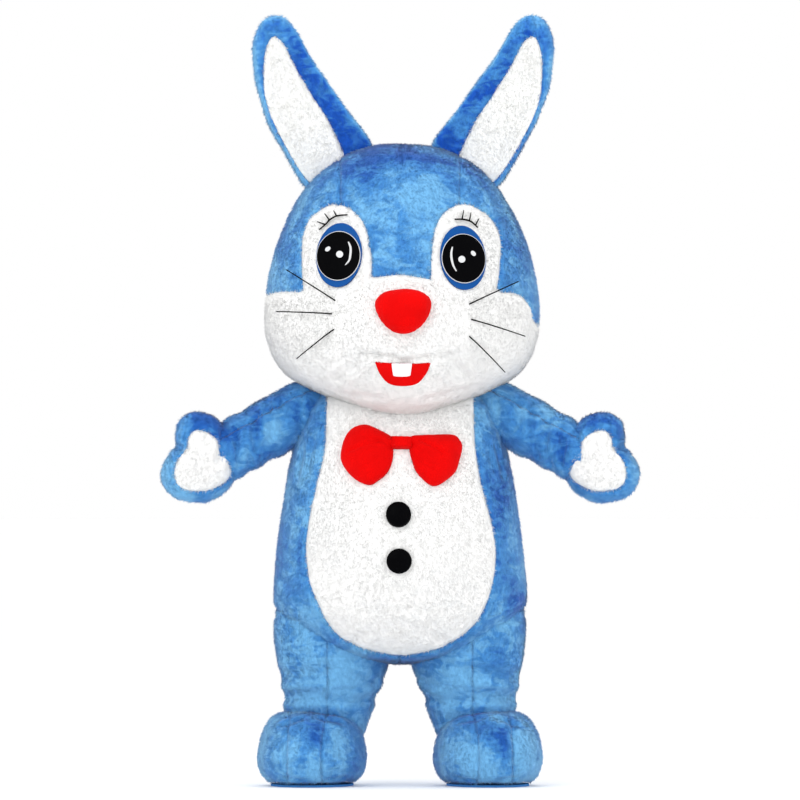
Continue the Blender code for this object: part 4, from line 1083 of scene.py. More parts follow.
@dataclass(frozen=True)
class Finish:
    """What every finish shares: a name, a slot name that nothing here reads, a colour and a
    roughness.
    """

    name: str
    slot: str
    colour: Colour
    roughness: float

    def material(self, part: str = "") -> Material:
        """The finish's material, built when it is first asked for.

        Args:
            part: which part of the cloth it is for, where a finish has several.

        Returns:
            The material.
        """
        name = self.name + part
        found = bpy.data.materials.get(name)
        if found is None:
            found = bpy.data.materials.new(name)
            found.diffuse_color = (*self.colour, 1.0)
            surface = Surface(found)
            surface.shade(Base_Color=self.colour, Roughness=self.roughness)
            self.paint(surface, part)
        return found

    def paint(self, surface: Surface, part: str) -> None:
        """Adds what sets the finish apart."""
        raise NotImplementedError


@dataclass(frozen=True)
class Plush(Finish):
    """Plush whose nap lies in light and deep patches, with the pile that stands on it."""

    pile: PileMaker
    deep: Colour = (0.0, 0.0, 0.0)
    light: Colour = (1.0, 1.0, 1.0)
    bias: float = 0.0
    patch_scale: float = 5.0
    sheen: float = 0.4
    shading: float = 0.11
    overhang: float = 0.0

    CLUMP_SCALE = 190.0
    # How much streaks and patches lift the shade, and how much painted shade darkens the base of a
    # tuft, where the tufts shadow each other
    STREAKS, PATCHES, ROOTS = 0.42, 0.60, 1.6
    # The colour that the painted root shade and the backing's grain darken to, as a share of the
    # plush's colour
    DARKEST = 0.45

    def paint(self, surface: Surface, part: str) -> None:
        """Colours the backing or the pile by how the nap lies, with painted shade and highlights
        from the nap attribute, and painted shade at the tufts' roots.
        """
        surface.shade(Sheen_Weight=self.sheen, Sheen_Roughness=0.5, Specular_IOR_Level=0.12)
        nap = surface.grouped("brushed_nap", self.patch_scale)
        streaks = surface.math("MULTIPLY", nap.outputs["Streaks"], self.STREAKS)
        patches = surface.math("MULTIPLY", nap.outputs["Patches"], self.PATCHES)
        lift = surface.math("ADD", surface.math("ADD", patches, streaks), self.bias)
        # The nap attribute lifts or lowers the colour: the nap's tone and its painted shade and
        # highlights
        lift = surface.math("ADD", lift, surface.attribute("nap"))
        colour = surface.blended(surface.ranged(lift, -0.05, 0.55), self.deep, self.colour)
        colour = surface.blended(surface.ranged(lift, 0.50, 1.05), colour, self.light)
        if part == PILE:
            # Painted shade at the tufts' roots
            tuft = surface.attribute("tuft")
            shade = surface.ranged(tuft, 0.0, 1.0, self.ROOTS * self.shading, 0.0)
        else:
            grain = surface.grouped("pile_grain", self.CLUMP_SCALE)
            shade = surface.ranged(grain.outputs["Shade"], 0.0, 1.0, self.shading, 0.0)
            surface.bump(grain.outputs["Height"], 0.003, 0.5)
        dark = tuple(self.DARKEST * c for c in self.colour)
        surface.shade(Base_Color=surface.blended(shade, colour, dark))


@dataclass(frozen=True)
class Fleece(Finish):
    """Smooth fleece or felt with a faint nap."""

    dark: Colour = (0.0, 0.0, 0.0)
    sheen: float = 0.3

    CLUMP_SCALE, PATCH_SCALE = 380.0, 11.0

    def paint(self, surface: Surface, part: str) -> None:
        """Mixes a darker colour in where the nap and its clumps dip."""
        surface.shade(Sheen_Weight=self.sheen, Sheen_Roughness=0.4, Specular_IOR_Level=0.08)
        grain = surface.grouped("pile_grain", self.CLUMP_SCALE)
        nap = surface.grouped("brushed_nap", self.PATCH_SCALE)
        both = surface.math("MULTIPLY", grain.outputs["Shade"], nap.outputs["Patches"])
        surface.shade(Base_Color=surface.blended(both, self.dark, self.colour))
        surface.bump(grain.outputs["Height"], 0.0012, 0.5)


@dataclass(frozen=True)
class Moulded(Finish):
    """Moulded plastic, rubber or plated metal, with faint wear in its gloss."""

    metal: float = 0.0
    bump: float = 0.0002
    shine: float = 0.5
    worn: Colour = (0.0, 0.0, 0.0)

    GRAIN_SCALE = 300.0
    # The shares of the roughness between which the gloss goes up and down
    GLOSS = (0.8, 1.25)

    def paint(self, surface: Surface, part: str) -> None:
        """Lets the gloss vary, and wears the colour at the grain's tops."""
        surface.shade(Metallic=self.metal, Specular_IOR_Level=self.shine)
        grain = surface.grouped("pile_grain", self.GRAIN_SCALE).outputs
        low, high = (self.roughness * share for share in self.GLOSS)
        surface.shade(Roughness=surface.ranged(grain["Shade"], 0.0, 1.0, low, high))
        wear = surface.ranged(grain["Shade"], 0.75, 1.0, 0.0, 0.35)
        surface.shade(Base_Color=surface.blended(wear, self.colour, self.worn))
        surface.bump(grain["Height"], self.bump, 0.4)


@dataclass(frozen=True)
class Woven(Finish):
    """A woven tape."""

    dark: Colour = (0.0, 0.0, 0.0)

    THREADS = 900.0

    def paint(self, surface: Surface, part: str) -> None:
        """Shades the threads by their height."""
        weave = surface.grouped("plain_weave", self.THREADS).outputs["Height"]
        surface.shade(Base_Color=surface.blended(weave, self.dark, self.colour))
        surface.bump(weave, 0.0004, 0.6)


SHORT = PileMaker(density=30300, length=0.0115, width=0.0018, upright=0.50, seed=7)
FLUFFY = PileMaker(density=44000, length=0.0090, width=0.0014, upright=0.66, seed=11)
BLUE = Plush(
    "rabbit_blue", "blue_plush", (0.060, 0.262, 0.620), 0.90, SHORT, bias=0.15,
    deep=(0.012, 0.105, 0.440), light=(0.165, 0.455, 0.780), patch_scale=5.5, sheen=0.20,
    overhang=0.5,
)
# A darker copy of the blue plush for the ears: painted shade
SHADED_BLUE = replace(
    BLUE, name="rabbit_deep_blue", colour=(0.055, 0.250, 0.620), bias=-0.22,
    deep=(0.007, 0.085, 0.480), patch_scale=6.0,
)
# A lighter copy of the blue plush for the legs: painted light
LIT_BLUE = replace(BLUE, name="rabbit_pale_blue", bias=0.36, patch_scale=5.2)
WHITE = Plush(
    "rabbit_white", "white_plush", (0.90, 0.90, 0.89), 0.92, FLUFFY,
    deep=(0.87, 0.875, 0.87), light=(0.92, 0.92, 0.91), patch_scale=7.0, sheen=0.10,
    shading=0.025, overhang=1.5,
)
CREAM = replace(
    WHITE, name="rabbit_ear_lining", colour=(0.90, 0.90, 0.875), deep=(0.87, 0.875, 0.855),
    light=(0.92, 0.92, 0.90), patch_scale=8.0, overhang=0.5,
)
RED = Fleece(
    "soft_red_fleece", "red_fleece", (0.78, 0.000, 0.000), 0.85, dark=(0.64, 0.0, 0.0),
    sheen=0.02,
)
FELT = Fleece(
    "stiff_white_felt", "white_felt", (0.86, 0.86, 0.88), 0.85, dark=(0.78, 0.79, 0.82),
)
BLACK = Moulded(
    "dull_black_plastic", "black_plastic", (0.001, 0.001, 0.0015), 0.42, shine=0.02,
    worn=(0.004, 0.004, 0.004),
)
IRIS = Moulded(
    "eye_blue_plate", "blue_plate", (0.003, 0.070, 0.280), 0.45, shine=0.1,
    worn=(0.006, 0.095, 0.34),
)
GLINT = Moulded(
    "eye_white_paint", "white_felt", (0.66, 0.67, 0.68), 0.50, shine=0.2, worn=(0.6, 0.61, 0.62),
)
NYLON = Moulded(
    "stiff_black_nylon", "whisker_nylon", (0.002, 0.002, 0.002), 0.60, shine=0.05,
    worn=(0.01, 0.01, 0.01),
)
RUBBER = Moulded(
    "blue_sole_cover", "sole_rubber", (0.050, 0.220, 0.560), 0.85, bump=0.0008, shine=0.10,
    worn=(0.07, 0.26, 0.60),
)
TAPE = Woven(
    "blue_zip_tape", "zip_tape", (0.030, 0.150, 0.450), 0.85, dark=(0.012, 0.080, 0.300),
)
METAL = Moulded(
    "plated_zip_metal", "zip_metal", (0.60, 0.61, 0.63), 0.28, metal=1.0,
    worn=(0.72, 0.73, 0.74),
)


class Wardrobe:
    """Puts finished pieces on the costume and reports them."""

    WHITE_PANELS = ("belly", "face", "ear_lining", "palm")
    # The rectangle that a panel is cut from: its least and greatest length, in shares of
    # its height and of its area's root, and how much of it the panel fills
    LEAST, LONGEST, SQUAREST, FILL = 0.3, 1.25, 2, 0.78
    # How much longer a straight strip is than its area says
    STRIP_EASE = 1.005

    def __init__(self) -> None:
        """Starts with no pieces."""
        self.pile_faces = 0

    def dress(self, piece: Piece, finish: Finish, *nodes: str, part: str = "") -> Piece:
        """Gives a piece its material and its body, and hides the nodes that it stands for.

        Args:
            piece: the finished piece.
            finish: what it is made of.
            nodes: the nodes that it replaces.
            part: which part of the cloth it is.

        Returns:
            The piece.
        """
        if not piece.data.materials:
            piece.data.materials.append(finish.material(part))
        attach(piece, SUIT)
        if nodes:
            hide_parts(*nodes)
        LOG.info("%s: %d faces", piece.name, len(piece.data.polygons))
        return piece

    def cover(self, form: Form, neighbours: Sequence[Form], panels: dict[str, Array],
              blue: Plush, white: Plush = WHITE) -> None:
        """Finishes a form and dresses its panels with their pile.

        Args:
            form: the form.
            neighbours: forms that it is sewn to.
            panels: which faces each node's panel has.
            blue: the plush of its blue panels.
            white: the plush of its white panels.
        """
        form.finish(neighbours, panels)
        for node, faces in panels.items():
            finish = white if node.startswith(self.WHITE_PANELS) else blue
            piece = self.dress(form.panel(node + "_cloth", faces), finish, node, part=BACK)
            tufts = finish.pile.grow(piece, finish, form.bare)
            self.dress(tufts, finish, part=PILE)
            self.pile_faces += len(tufts.data.polygons)
            self.declare(piece, [tufts])

    def declare(self, piece: Piece, extras: Sequence[Piece] = (), layers: int = 1,
                wide: float | None = None) -> None:
        """Works out a sheet's cut: its area, and the rectangle that the area fits in; the result
        is not kept.

        Args:
            piece: the sheet as it lies on the suit.
            extras: its pile; not used.
            layers: how many faces its mesh has through its thickness.
            wide: the width of a strip that is cut straight.
        """
        points, triangles = point_array(piece.data), triangle_array(piece.data)
        area = float(face_areas(points, triangles).sum()) / layers
        if wide is None:
            tall = max(float(np.ptp(points[:, 2])), self.LEAST * math.sqrt(area))
            long = min(self.LONGEST * tall, self.SQUAREST * math.sqrt(area))
            wide = area / (self.FILL * long)
        else:
            long = self.STRIP_EASE * area / wide


def flat_rule(outline: Array, limit: float) -> Rule:
    """A rule for what lies inside a front outline and in front of a depth."""

    def rule(form: Form) -> Array:
        """Each point's signed distance from the outline."""
        gap = from_outline(form.stand[:, [0, 2]], outline)
        return np.maximum(gap, form.stand[:, 1] - limit)

    return rule


def axis_rule(axis: int, at: float, sign: float = 1.0) -> Rule:
    """A rule for what lies below a place along an axis, or above it with a sign of -1."""
    return lambda form: sign * (form.stand[:, axis] - at)


class Trunk:
    """The trunk: belly, two front sides and two backs round the zip's slot."""

    FOLDS = table(
        Fold, ((-0.335, 1.130), (-0.352, 1.040), 0.006, 0.016),
        ((-0.300, 1.165), (-0.315, 1.060), 0.005, 0.014),
        ((0.330, 1.140), (0.352, 1.050), 0.006, 0.016),
        ((0.295, 1.175), (0.318, 1.080), 0.004, 0.014),
        ((-0.405, 0.700), (-0.340, 0.640), 0.004, 0.018),
        ((0.410, 0.660), (0.350, 0.610), 0.004, 0.018),
        ((-0.180, 0.470), (-0.110, 0.520), 0.004, 0.016),
        ((0.190, 0.465), (0.120, 0.510), 0.004, 0.016),
        ((0.002, 0.700), (0.001, 0.440), 0.0022, 0.008),
        ((-0.330, 1.150), (-0.200, 1.080), 0.006, 0.018, True),
        ((0.335, 1.140), (0.215, 1.060), 0.006, 0.018, True),
        ((-0.380, 0.640), (-0.250, 0.600), 0.005, 0.020, True),
        ((0.375, 0.660), (0.240, 0.605), 0.005, 0.020, True),
    )

    def __init__(self) -> None:
        """Builds the form and splits it at its seams."""
        self.form = Form("trunk", 152, 92, ring_shape(TRUNK_RINGS), folds=self.FOLDS)
        outline = cornered(BELLY_OUTLINE, BELLY_CORNERS)
        self.form.split("belly", flat_rule(outline, 0.0))
        self.form.split("rear", axis_rule(1, 0.0, -1.0))
        self.form.split("right", axis_rule(0, 0.0))
        self.form.split("slot", self.slot)
        self.form.bare = [
            smooth_run(outline, 6, True) + BOW_PLACE for outline in BOW_WING_OUTLINE.values()
        ]
        disc = ellipse(BUTTON_RADIUS, BUTTON_RADIUS)
        self.form.bare += [disc + place for place in BUTTON_PLACES.values()]

    @staticmethod
    def slot(form: Form) -> Array:
        """Each point's signed distance from the slot that the zip shows in."""
        x, y, z = form.stand.T
        gap = np.maximum.reduce([np.abs(x) - ZIP_SLOT, ZIP_BOTTOM - z, z - ZIP_TOP])
        return np.where(y > 0.05, gap, 0.1)

    def panels(self) -> dict[str, Array]:
        """Which faces each node's panel has."""
        form = self.form
        belly, rear, right = (form.inside(name) for name in ("belly", "rear", "right"))
        slot = form.inside("slot")
        found = {"belly": belly}
        for side in Side:
            own = right if side is Side.RIGHT else ~right
            found[f"front_side_{side.word}"] = own & ~belly & ~rear
            found[f"back_{side.word}"] = own & rear & ~slot
        return found


class Head:
    """The head: white face, crown, two sides and the back."""

    FOLDS = table(
        Fold, ((-0.128, 1.437), (-0.216, 1.369), 0.007, 0.018),
        ((0.172, 1.437), (0.232, 1.372), 0.006, 0.018),
        ((-0.128, 1.450), (-0.030, 1.440), 0.008, 0.015),
        ((-0.030, 1.440), (0.017, 1.430), 0.008, 0.014),
        ((0.017, 1.430), (0.088, 1.440), 0.008, 0.014),
        ((0.088, 1.440), (0.176, 1.450), 0.007, 0.015),
        ((0.010, 1.520), (0.012, 1.470), 0.006, 0.014),
        ((-0.100, 1.705), (-0.150, 1.660), 0.005, 0.018),
        ((0.105, 1.700), (0.160, 1.655), 0.005, 0.018),
        ((0.003, 2.168), (0.005, 2.090), 0.004, 0.010),
        ((-0.200, 1.320), (-0.060, 1.300), 0.004, 0.018),
        ((0.090, 1.300), (0.210, 1.330), 0.004, 0.018),
        ((0.0, 2.100), (0.0, 1.450), 0.003, 0.012, True),
        ((-0.300, 1.420), (-0.180, 1.380), 0.006, 0.020, True),
        ((0.290, 1.430), (0.150, 1.385), 0.006, 0.020, True),
    )

    def __init__(self) -> None:
        """Builds the form and splits it at its seams."""
        self.form = Form("head", 184, 110, self.shape, folds=self.FOLDS, seed=3.0)
        outline = cornered(FACE_OUTLINE, FACE_CORNERS)
        self.form.split("face", flat_rule(outline, FACE_BACK_EDGE))
        self.form.split("rear", axis_rule(1, FACE_BACK_EDGE, -1.0))
        self.form.split("crown", lambda form: np.abs(form.stand[:, 0]) - CROWN_SEAM)
        self.form.bare = [
            smooth_run(NOSE_OUTLINE, 6, True) + NOSE_PLACE,
            cornered(MOUTH_OUTLINE, MOUTH_CORNERS) + MOUTH_PLACE,
            cornered(MOUTH_OUTLINE, MOUTH_CORNERS) + MOUTH_PLACE + np.array(MOUTH_CLEAR),
        ]
        for side in Side:
            lean = -side.value * EYE_LEAN
            self.form.bare.append(ellipse(*IRIS_SIZE, lean) + EYE_PLACE[side])

    @staticmethod
    def shape(share: Array, angle: Array) -> Array:
        """The head's rings with the muzzle swelling out of the front."""
        points = ring_shape(HEAD_RINGS)(share, angle)
        across = (points[:, 0] - MUZZLE_PLACE[0]) / MUZZLE_SPREAD[0]
        up = (points[:, 2] - MUZZLE_PLACE[1]) / MUZZLE_SPREAD[1]
        facing = np.clip(-points[:, 1] / 0.12, 0, 1)
        points[:, 1] -= MUZZLE_DEPTH * np.exp(-(across**2) - up**2) * facing
        return points

    def panels(self) -> dict[str, Array]:
        """Which faces each node's panel has."""
        form = self.form
        face, rear, crown = (form.inside(name) for name in ("face", "rear", "crown"))
        right = form.stand[form.triangles][:, :, 0].mean(axis=1) < 0
        sides = ~face & ~rear & ~crown
        return {
            "face": face,
            "crown": ~face & ~rear & crown,
            "head_side_left": sides & ~right,
            "head_side_right": sides & right,
            "head_back": rear,
        }


@dataclass
class Ear:
    """One ear: blue border, white lining and blue back."""

    side: Side

    def __post_init__(self) -> None:
        """Builds the form and splits it at its seams."""
        sign = self.side.value
        lean = Matrix.Rotation(sign * EAR_LEAN[self.side], 4, "Y")
        turn = Matrix.Rotation(-sign * EAR_TURN, 4, "Z")
        mirror = Matrix.Scale(sign, 4, (1, 0, 0))
        place = Matrix.Translation(EAR_PLACE[self.side]) @ turn @ lean @ mirror
        shape = swollen_shape(EAR_OUTLINE, EAR_LAYERS, EAR_CENTRE)
        name = "ear_" + self.side.word
        self.form = Form(name, 84, 40, shape, place, seed=5.0 + sign)
        lining = smooth_run(EAR_LINING_OUTLINE, 6, True)
        self.form.split("lining", lambda form: self.lined(form, lining))
        self.form.split("rear", lambda form: -form.local[:, 1])
        local = self.form.local
        rim = from_outline(local[:, [0, 2]], smooth_run(EAR_OUTLINE, 6, True))
        # Painted highlight: the nap is lightened along the ear's rim and near its base
        self.form.tone = 0.62 * np.exp(-((rim / 0.016) ** 2))
        self.form.tone += 0.35 * np.exp(-(((local[:, 2] + 0.04) / 0.09) ** 2))

    @staticmethod
    def lined(form: Form, outline: Array) -> Array:
        """Each point's signed distance from the lining's edge."""
        local = form.local
        return np.maximum(from_outline(local[:, [0, 2]], outline), local[:, 1] + 0.002)

    def panels(self) -> dict[str, Array]:
        """Which faces each node's panel has."""
        lining, rear = self.form.inside("lining"), self.form.inside("rear")
        word = self.side.word
        return {
            "ear_lining_" + word: lining,
            "ear_border_" + word: ~lining & ~rear,
            "ear_back_" + word: rear,
        }


def side_place(side: Side, place: Matrix) -> Matrix:
    """The place of a piece that is drawn for the left."""
    return Matrix.Scale(side.value, 4, (1, 0, 0)) @ place


def mirrored(side: Side, folds: Sequence[Fold]) -> list[Fold]:
    """Folds that are listed for the left, on a side."""
    sign = side.value
    return [
        Fold((sign * f.start[0], f.start[1]), (sign * f.end[0], f.end[1]), f.depth, f.width,
             f.behind)
        for f in folds
    ]


@dataclass
class Arm:
    """One arm: sleeve top and under, mitt with its thumb, and white palm."""

    side: Side

    SLEEVE_FOLDS = table(
        Fold, ((0.495, 1.230), (0.482, 1.130), 0.010, 0.012),
        ((0.448, 1.300), (0.432, 1.180), 0.007, 0.013),
        ((0.552, 1.175), (0.538, 1.085), 0.010, 0.011),
        ((0.410, 1.300), (0.398, 1.200), 0.007, 0.012),
        ((0.520, 1.140), (0.500, 1.080), 0.008, 0.010),
        ((0.455, 1.160), (0.462, 1.110), 0.006, 0.011),
        ((0.332, 1.330), (0.334, 1.170), 0.007, 0.009),
        ((0.480, 1.250), (0.455, 1.140), 0.007, 0.014, True),
        ((0.540, 1.200), (0.515, 1.090), 0.007, 0.013, True),
        ((0.415, 1.290), (0.400, 1.190), 0.006, 0.015, True),
    )
    MITT_FOLDS = table(
        Fold, ((0.775, 1.150), (0.745, 1.140), 0.007, 0.012),
        ((0.590, 1.190), (0.605, 1.100), 0.005, 0.014),
        ((0.775, 1.150), (0.735, 1.135), 0.006, 0.013, True),
        ((0.640, 1.180), (0.620, 1.060), 0.005, 0.016, True),
    )

    def __post_init__(self) -> None:
        """Builds the two forms and splits them at their seams."""
        down_arm = Matrix.Rotation(math.pi / 2 + ARM_DROP, 4, "Y")
        reach = Matrix.Rotation(-ARM_REACH, 4, "Z")
        place = side_place(self.side, Matrix.Translation(SHOULDER) @ reach @ down_arm)
        folds = mirrored(self.side, self.SLEEVE_FOLDS)
        shape = ring_shape(SLEEVE_RINGS)
        word = self.side.word
        self.sleeve = Form("sleeve_" + word, 80, 64, shape, place, folds, 8 + self.side.value)
        drop = Matrix.Rotation(ARM_DROP, 4, "Y")
        turn = Matrix.Rotation(SLEEVE_SEAM_TURN, 4, "X")
        self.over = (reach @ drop @ turn) @ Vector((0, 0, 1))
        self.sleeve.split("under", self.under)

        shape = swollen_shape(MITT_OUTLINE, MITT_LAYERS, (0.0, 0.0))
        place = side_place(self.side, Matrix.Translation(MITT_PLACE))
        folds = mirrored(self.side, self.MITT_FOLDS)
        self.mitt = Form("mitt_" + word, 88, 48, shape, place, folds, 12 + self.side.value)
        palm = smooth_run(PALM_OUTLINE, 6, True)
        self.mitt.split("palm", lambda form: np.maximum(
            from_outline(form.local[:, [0, 2]], palm), form.local[:, 1] + 0.005
        ))

    def panels(self) -> tuple[dict[str, Array], dict[str, Array]]:
        """Which faces each node's panel has, on the sleeve and on the mitt."""
        under, palm = self.sleeve.inside("under"), self.mitt.inside("palm")
        word = self.side.word
        sleeve = {"sleeve_top_" + word: ~under, "sleeve_under_" + word: under}
        return sleeve, {"palm_" + word: palm, "mitt_" + word: ~palm}

    def under(self, form: Form) -> Array:
        """Each point's height over the plane of the sleeve's two seams."""
        points = form.stand * (self.side.value, 1, 1) - np.array(SHOULDER)
        return points @ np.array(self.over)


@dataclass
class Leg:
    """One leg, in an inner and an outer panel."""

    side: Side

    FOLDS = table(
        Fold, ((0.255, 0.395), (0.395, 0.372), 0.006, 0.020),
        ((0.075, 0.345), (0.205, 0.322), 0.006, 0.020),
        ((0.280, 0.318), (0.385, 0.296), 0.006, 0.018),
        ((0.110, 0.288), (0.225, 0.280), 0.005, 0.016),
        ((0.120, 0.425), (0.220, 0.402), 0.004, 0.020),
        ((0.300, 0.450), (0.390, 0.440), 0.003, 0.020),
        ((0.110, 0.390), (0.250, 0.372), 0.007, 0.014, True),
        ((0.240, 0.330), (0.385, 0.342), 0.007, 0.013, True),
        ((0.130, 0.300), (0.270, 0.290), 0.006, 0.012, True),
    )

    def __post_init__(self) -> None:
        """Builds the form and splits it at its seams."""
        place = side_place(self.side, Matrix.Identity(4))
        folds = mirrored(self.side, self.FOLDS)
        shape = ring_shape(LEG_RINGS)
        name = "leg_" + self.side.word
        self.form = Form(name, 88, 72, shape, place, folds, 15 + self.side.value)
        self.form.split("inner", lambda form: form.stand[:, 0] * self.side.value - LEG_SEAM)

    def panels(self) -> dict[str, Array]:
        """Which faces each node's panel has."""
        inner = self.form.inside("inner")
        word = self.side.word
        return {"leg_inner_" + word: inner, "leg_outer_" + word: ~inner}


@dataclass
class Foot:
    """One foot cover, in a toe and two side panels, over a flat sole."""

    side: Side

    # The sole's size as a share of the foot's edge, how its edge is rounded, and how far
    # over it the cover ends
    SOLE_SHARE, SOLE_ROUND, COVER_GAP = 0.962, 0.0018, 0.0006

    FOLDS = table(
        Fold, ((0.200, 0.225), (0.270, 0.238), 0.006, 0.014),
        ((0.330, 0.235), (0.395, 0.215), 0.006, 0.014),
        ((0.180, 0.030), (0.240, 0.022), 0.004, 0.010),
        ((0.330, 0.024), (0.400, 0.030), 0.004, 0.010),
        ((0.210, 0.190), (0.360, 0.195), 0.005, 0.016, True),
    )

    def __post_init__(self) -> None:
        """Builds the form and splits it at its seams."""
        turn = Matrix.Rotation(FOOT_TURN, 4, "Z")
        place = side_place(self.side, Matrix.Translation(FOOT_PLACE) @ turn)
        shape = ring_shape(FOOT_RINGS)
        name = "foot_" + self.side.word
        folds = mirrored(self.side, self.FOLDS)
        self.form = Form(name, 92, 60, shape, place, folds, 18 + self.side.value)
        self.form.split("low", lambda form: form.stand[:, 2] - SOLE_THICKNESS - self.COVER_GAP)
        self.form.split("toe", lambda form: np.maximum.reduce([
            TOE_SEAMS[0] - form.local[:, 0], form.local[:, 0] - TOE_SEAMS[1],
            form.local[:, 1],
        ]))
        self.form.split("inner", lambda form: form.local[:, 0])

    def panels(self) -> dict[str, Array]:
        """Which faces each node's panel has."""
        low, toe, inner = (self.form.inside(name) for name in ("low", "toe", "inner"))
        word = self.side.word
        return {
            "foot_toe_" + word: toe & ~low,
            "foot_inner_" + word: inner & ~toe & ~low,
            "foot_outer_" + word: ~inner & ~toe & ~low,
        }

    def sole(self) -> Piece:
        """The flat sole, as a disc that follows the foot's edge."""
        disc = primitive(bpy.ops.mesh.primitive_cylinder_add, f"sole_{self.side.word}_sheet",
                         vertices=96, radius=1.0, depth=SOLE_THICKNESS)
        rings = ring_shape(FOOT_RINGS)
        low = smooth_run([(r.height,) for r in FOOT_RINGS], 16, False)[:, 0]
        share = np.interp(SOLE_THICKNESS, low, np.linspace(0, 1, len(low)))
        unit = point_array(disc.data)
        edge = rings(np.full(len(unit), share), np.arctan2(unit[:, 1], unit[:, 0]))
        edge[:, 2] = unit[:, 2] + SOLE_THICKNESS / 2
        edge[:, :2] *= self.SOLE_SHARE
        disc.data.vertices.foreach_set("co", edge.ravel())
        place = Matrix.Translation(STANCE) @ self.form.place
        disc.data.transform(place)
        if place.determinant() < 0:
            disc.data.flip_normals()
        tidy_select(disc)
        bevel = disc.modifiers.new("edge", "BEVEL")
        bevel.width = self.SOLE_ROUND
        bevel.segments = 3
        bevel.limit_method = "ANGLE"
        bpy.ops.object.modifier_apply(modifier=bevel.name)
        disc.data.shade_smooth()
        tidy_select(disc)
        bpy.ops.object.shade_smooth_by_angle(angle=math.radians(35))
        return disc


@dataclass
class Pad:
    """A pad that lies on a form's front, drawn by an outline and its layers."""

    name: str
    form: Form
    outline: Array
    centre: Pair
    layers: Sequence[Layer]
    base: float = 0.0068
    columns: int = 64
    rows: int = 24
    level: bool = False
    relief: Shape | None = None
    raised: float = 0.0

    def build(self) -> Piece:
        """The pad: the ball's lower half is its base and the upper half its top."""
        ball = shaped_ball(self.name, self.columns, self.rows, self.shape)
        ball.data.transform(Matrix.Translation(STANCE))
        return ball

    def shape(self, share: Array, angle: Array) -> Array:
        """Points of the pad at each share and turn."""
        outline = np.asarray(self.outline, float)
        middle = outline.mean(axis=0)
        top = share > 0.5
        fine = smooth_run([(ly.scale, ly.depth) for ly in self.layers], 10, False)
        way = np.clip((share - 0.5) * 2, 0, 1) * (len(fine) - 1)
        scale = np.interp(way, np.arange(len(fine)), fine[:, 0])
        lift = np.interp(way, np.arange(len(fine)), fine[:, 1]) + self.raised
        scale = np.where(top, scale, np.clip(share * 2, 0, 1))
        lift = np.where(top, lift, -self.base)
        edge = around(outline, angle / (2 * math.pi))
        flat = middle + scale[:, None] * (edge - middle)
        points, normals = self.form.on_surface(flat + np.array(self.centre))
        if self.level:
            normals[:] = unit_rows(normals.mean(axis=0)[None])
        if self.relief is not None:
            lift = lift + np.where(top, self.relief(flat, scale), 0.0)
        return points + normals * lift[:, None]


def tube(name: str, route: Array, radii: Sequence[float], sides: int = 8) -> Piece:
    """A round bar along a route, made from a curve, with its own radius at each point.

    Args:
        name: the piece's name.
        route: points in the standing frame.
        radii: the radius at each point.
        sides: how finely its round is divided.

    Returns:
        The bar as a mesh.
    """
    curve = bpy.data.curves.new(name, "CURVE")
    curve.dimensions = "3D"
    curve.bevel_depth = 1.0
    curve.bevel_resolution = max(1, sides // 4)
    curve.use_fill_caps = True
    line = curve.splines.new("POLY")
    line.points.add(len(route) - 1)
    for point, place, radius in zip(line.points, route, radii):
        point.co = (*(Vector(place) + STANCE), 1.0)
        point.radius = radius
    wire = bpy.data.objects.new(name, curve)
    bpy.context.collection.objects.link(wire)
    tidy_select(wire)
    bpy.ops.object.convert(target="MESH")
    bar = bpy.context.active_object
    bar.name = name
    in_edit_mode(weld, face_outwards)
    bar.data.shade_smooth()
    return bar


class Sewn:
    """Pieces that sit on a form."""

    def __init__(self, form: Form, wardrobe: Wardrobe) -> None:
        """Takes the form, and what dresses the pieces."""
        self.form = form
        self.wardrobe = wardrobe

    def sew(self, name: str, finish: Finish, outline: Array, place: Pair,
            layers: Sequence[Layer], *nodes: str, **options: object) -> Piece:
        """Builds a pad on the form and dresses it.

        Args:
            name: the piece's name.
            finish: what it is made of.
            outline: its outline, from its place.
            place: where it sits, across and up.
            layers: its loops from the edge to the middle.
            nodes: the nodes that it replaces.
            options: what else its pad needs.

        Returns:
            The piece.
        """
        pad = Pad(name, self.form, outline, place, layers, **options)
        return self.wardrobe.dress(pad.build(), finish, *nodes)


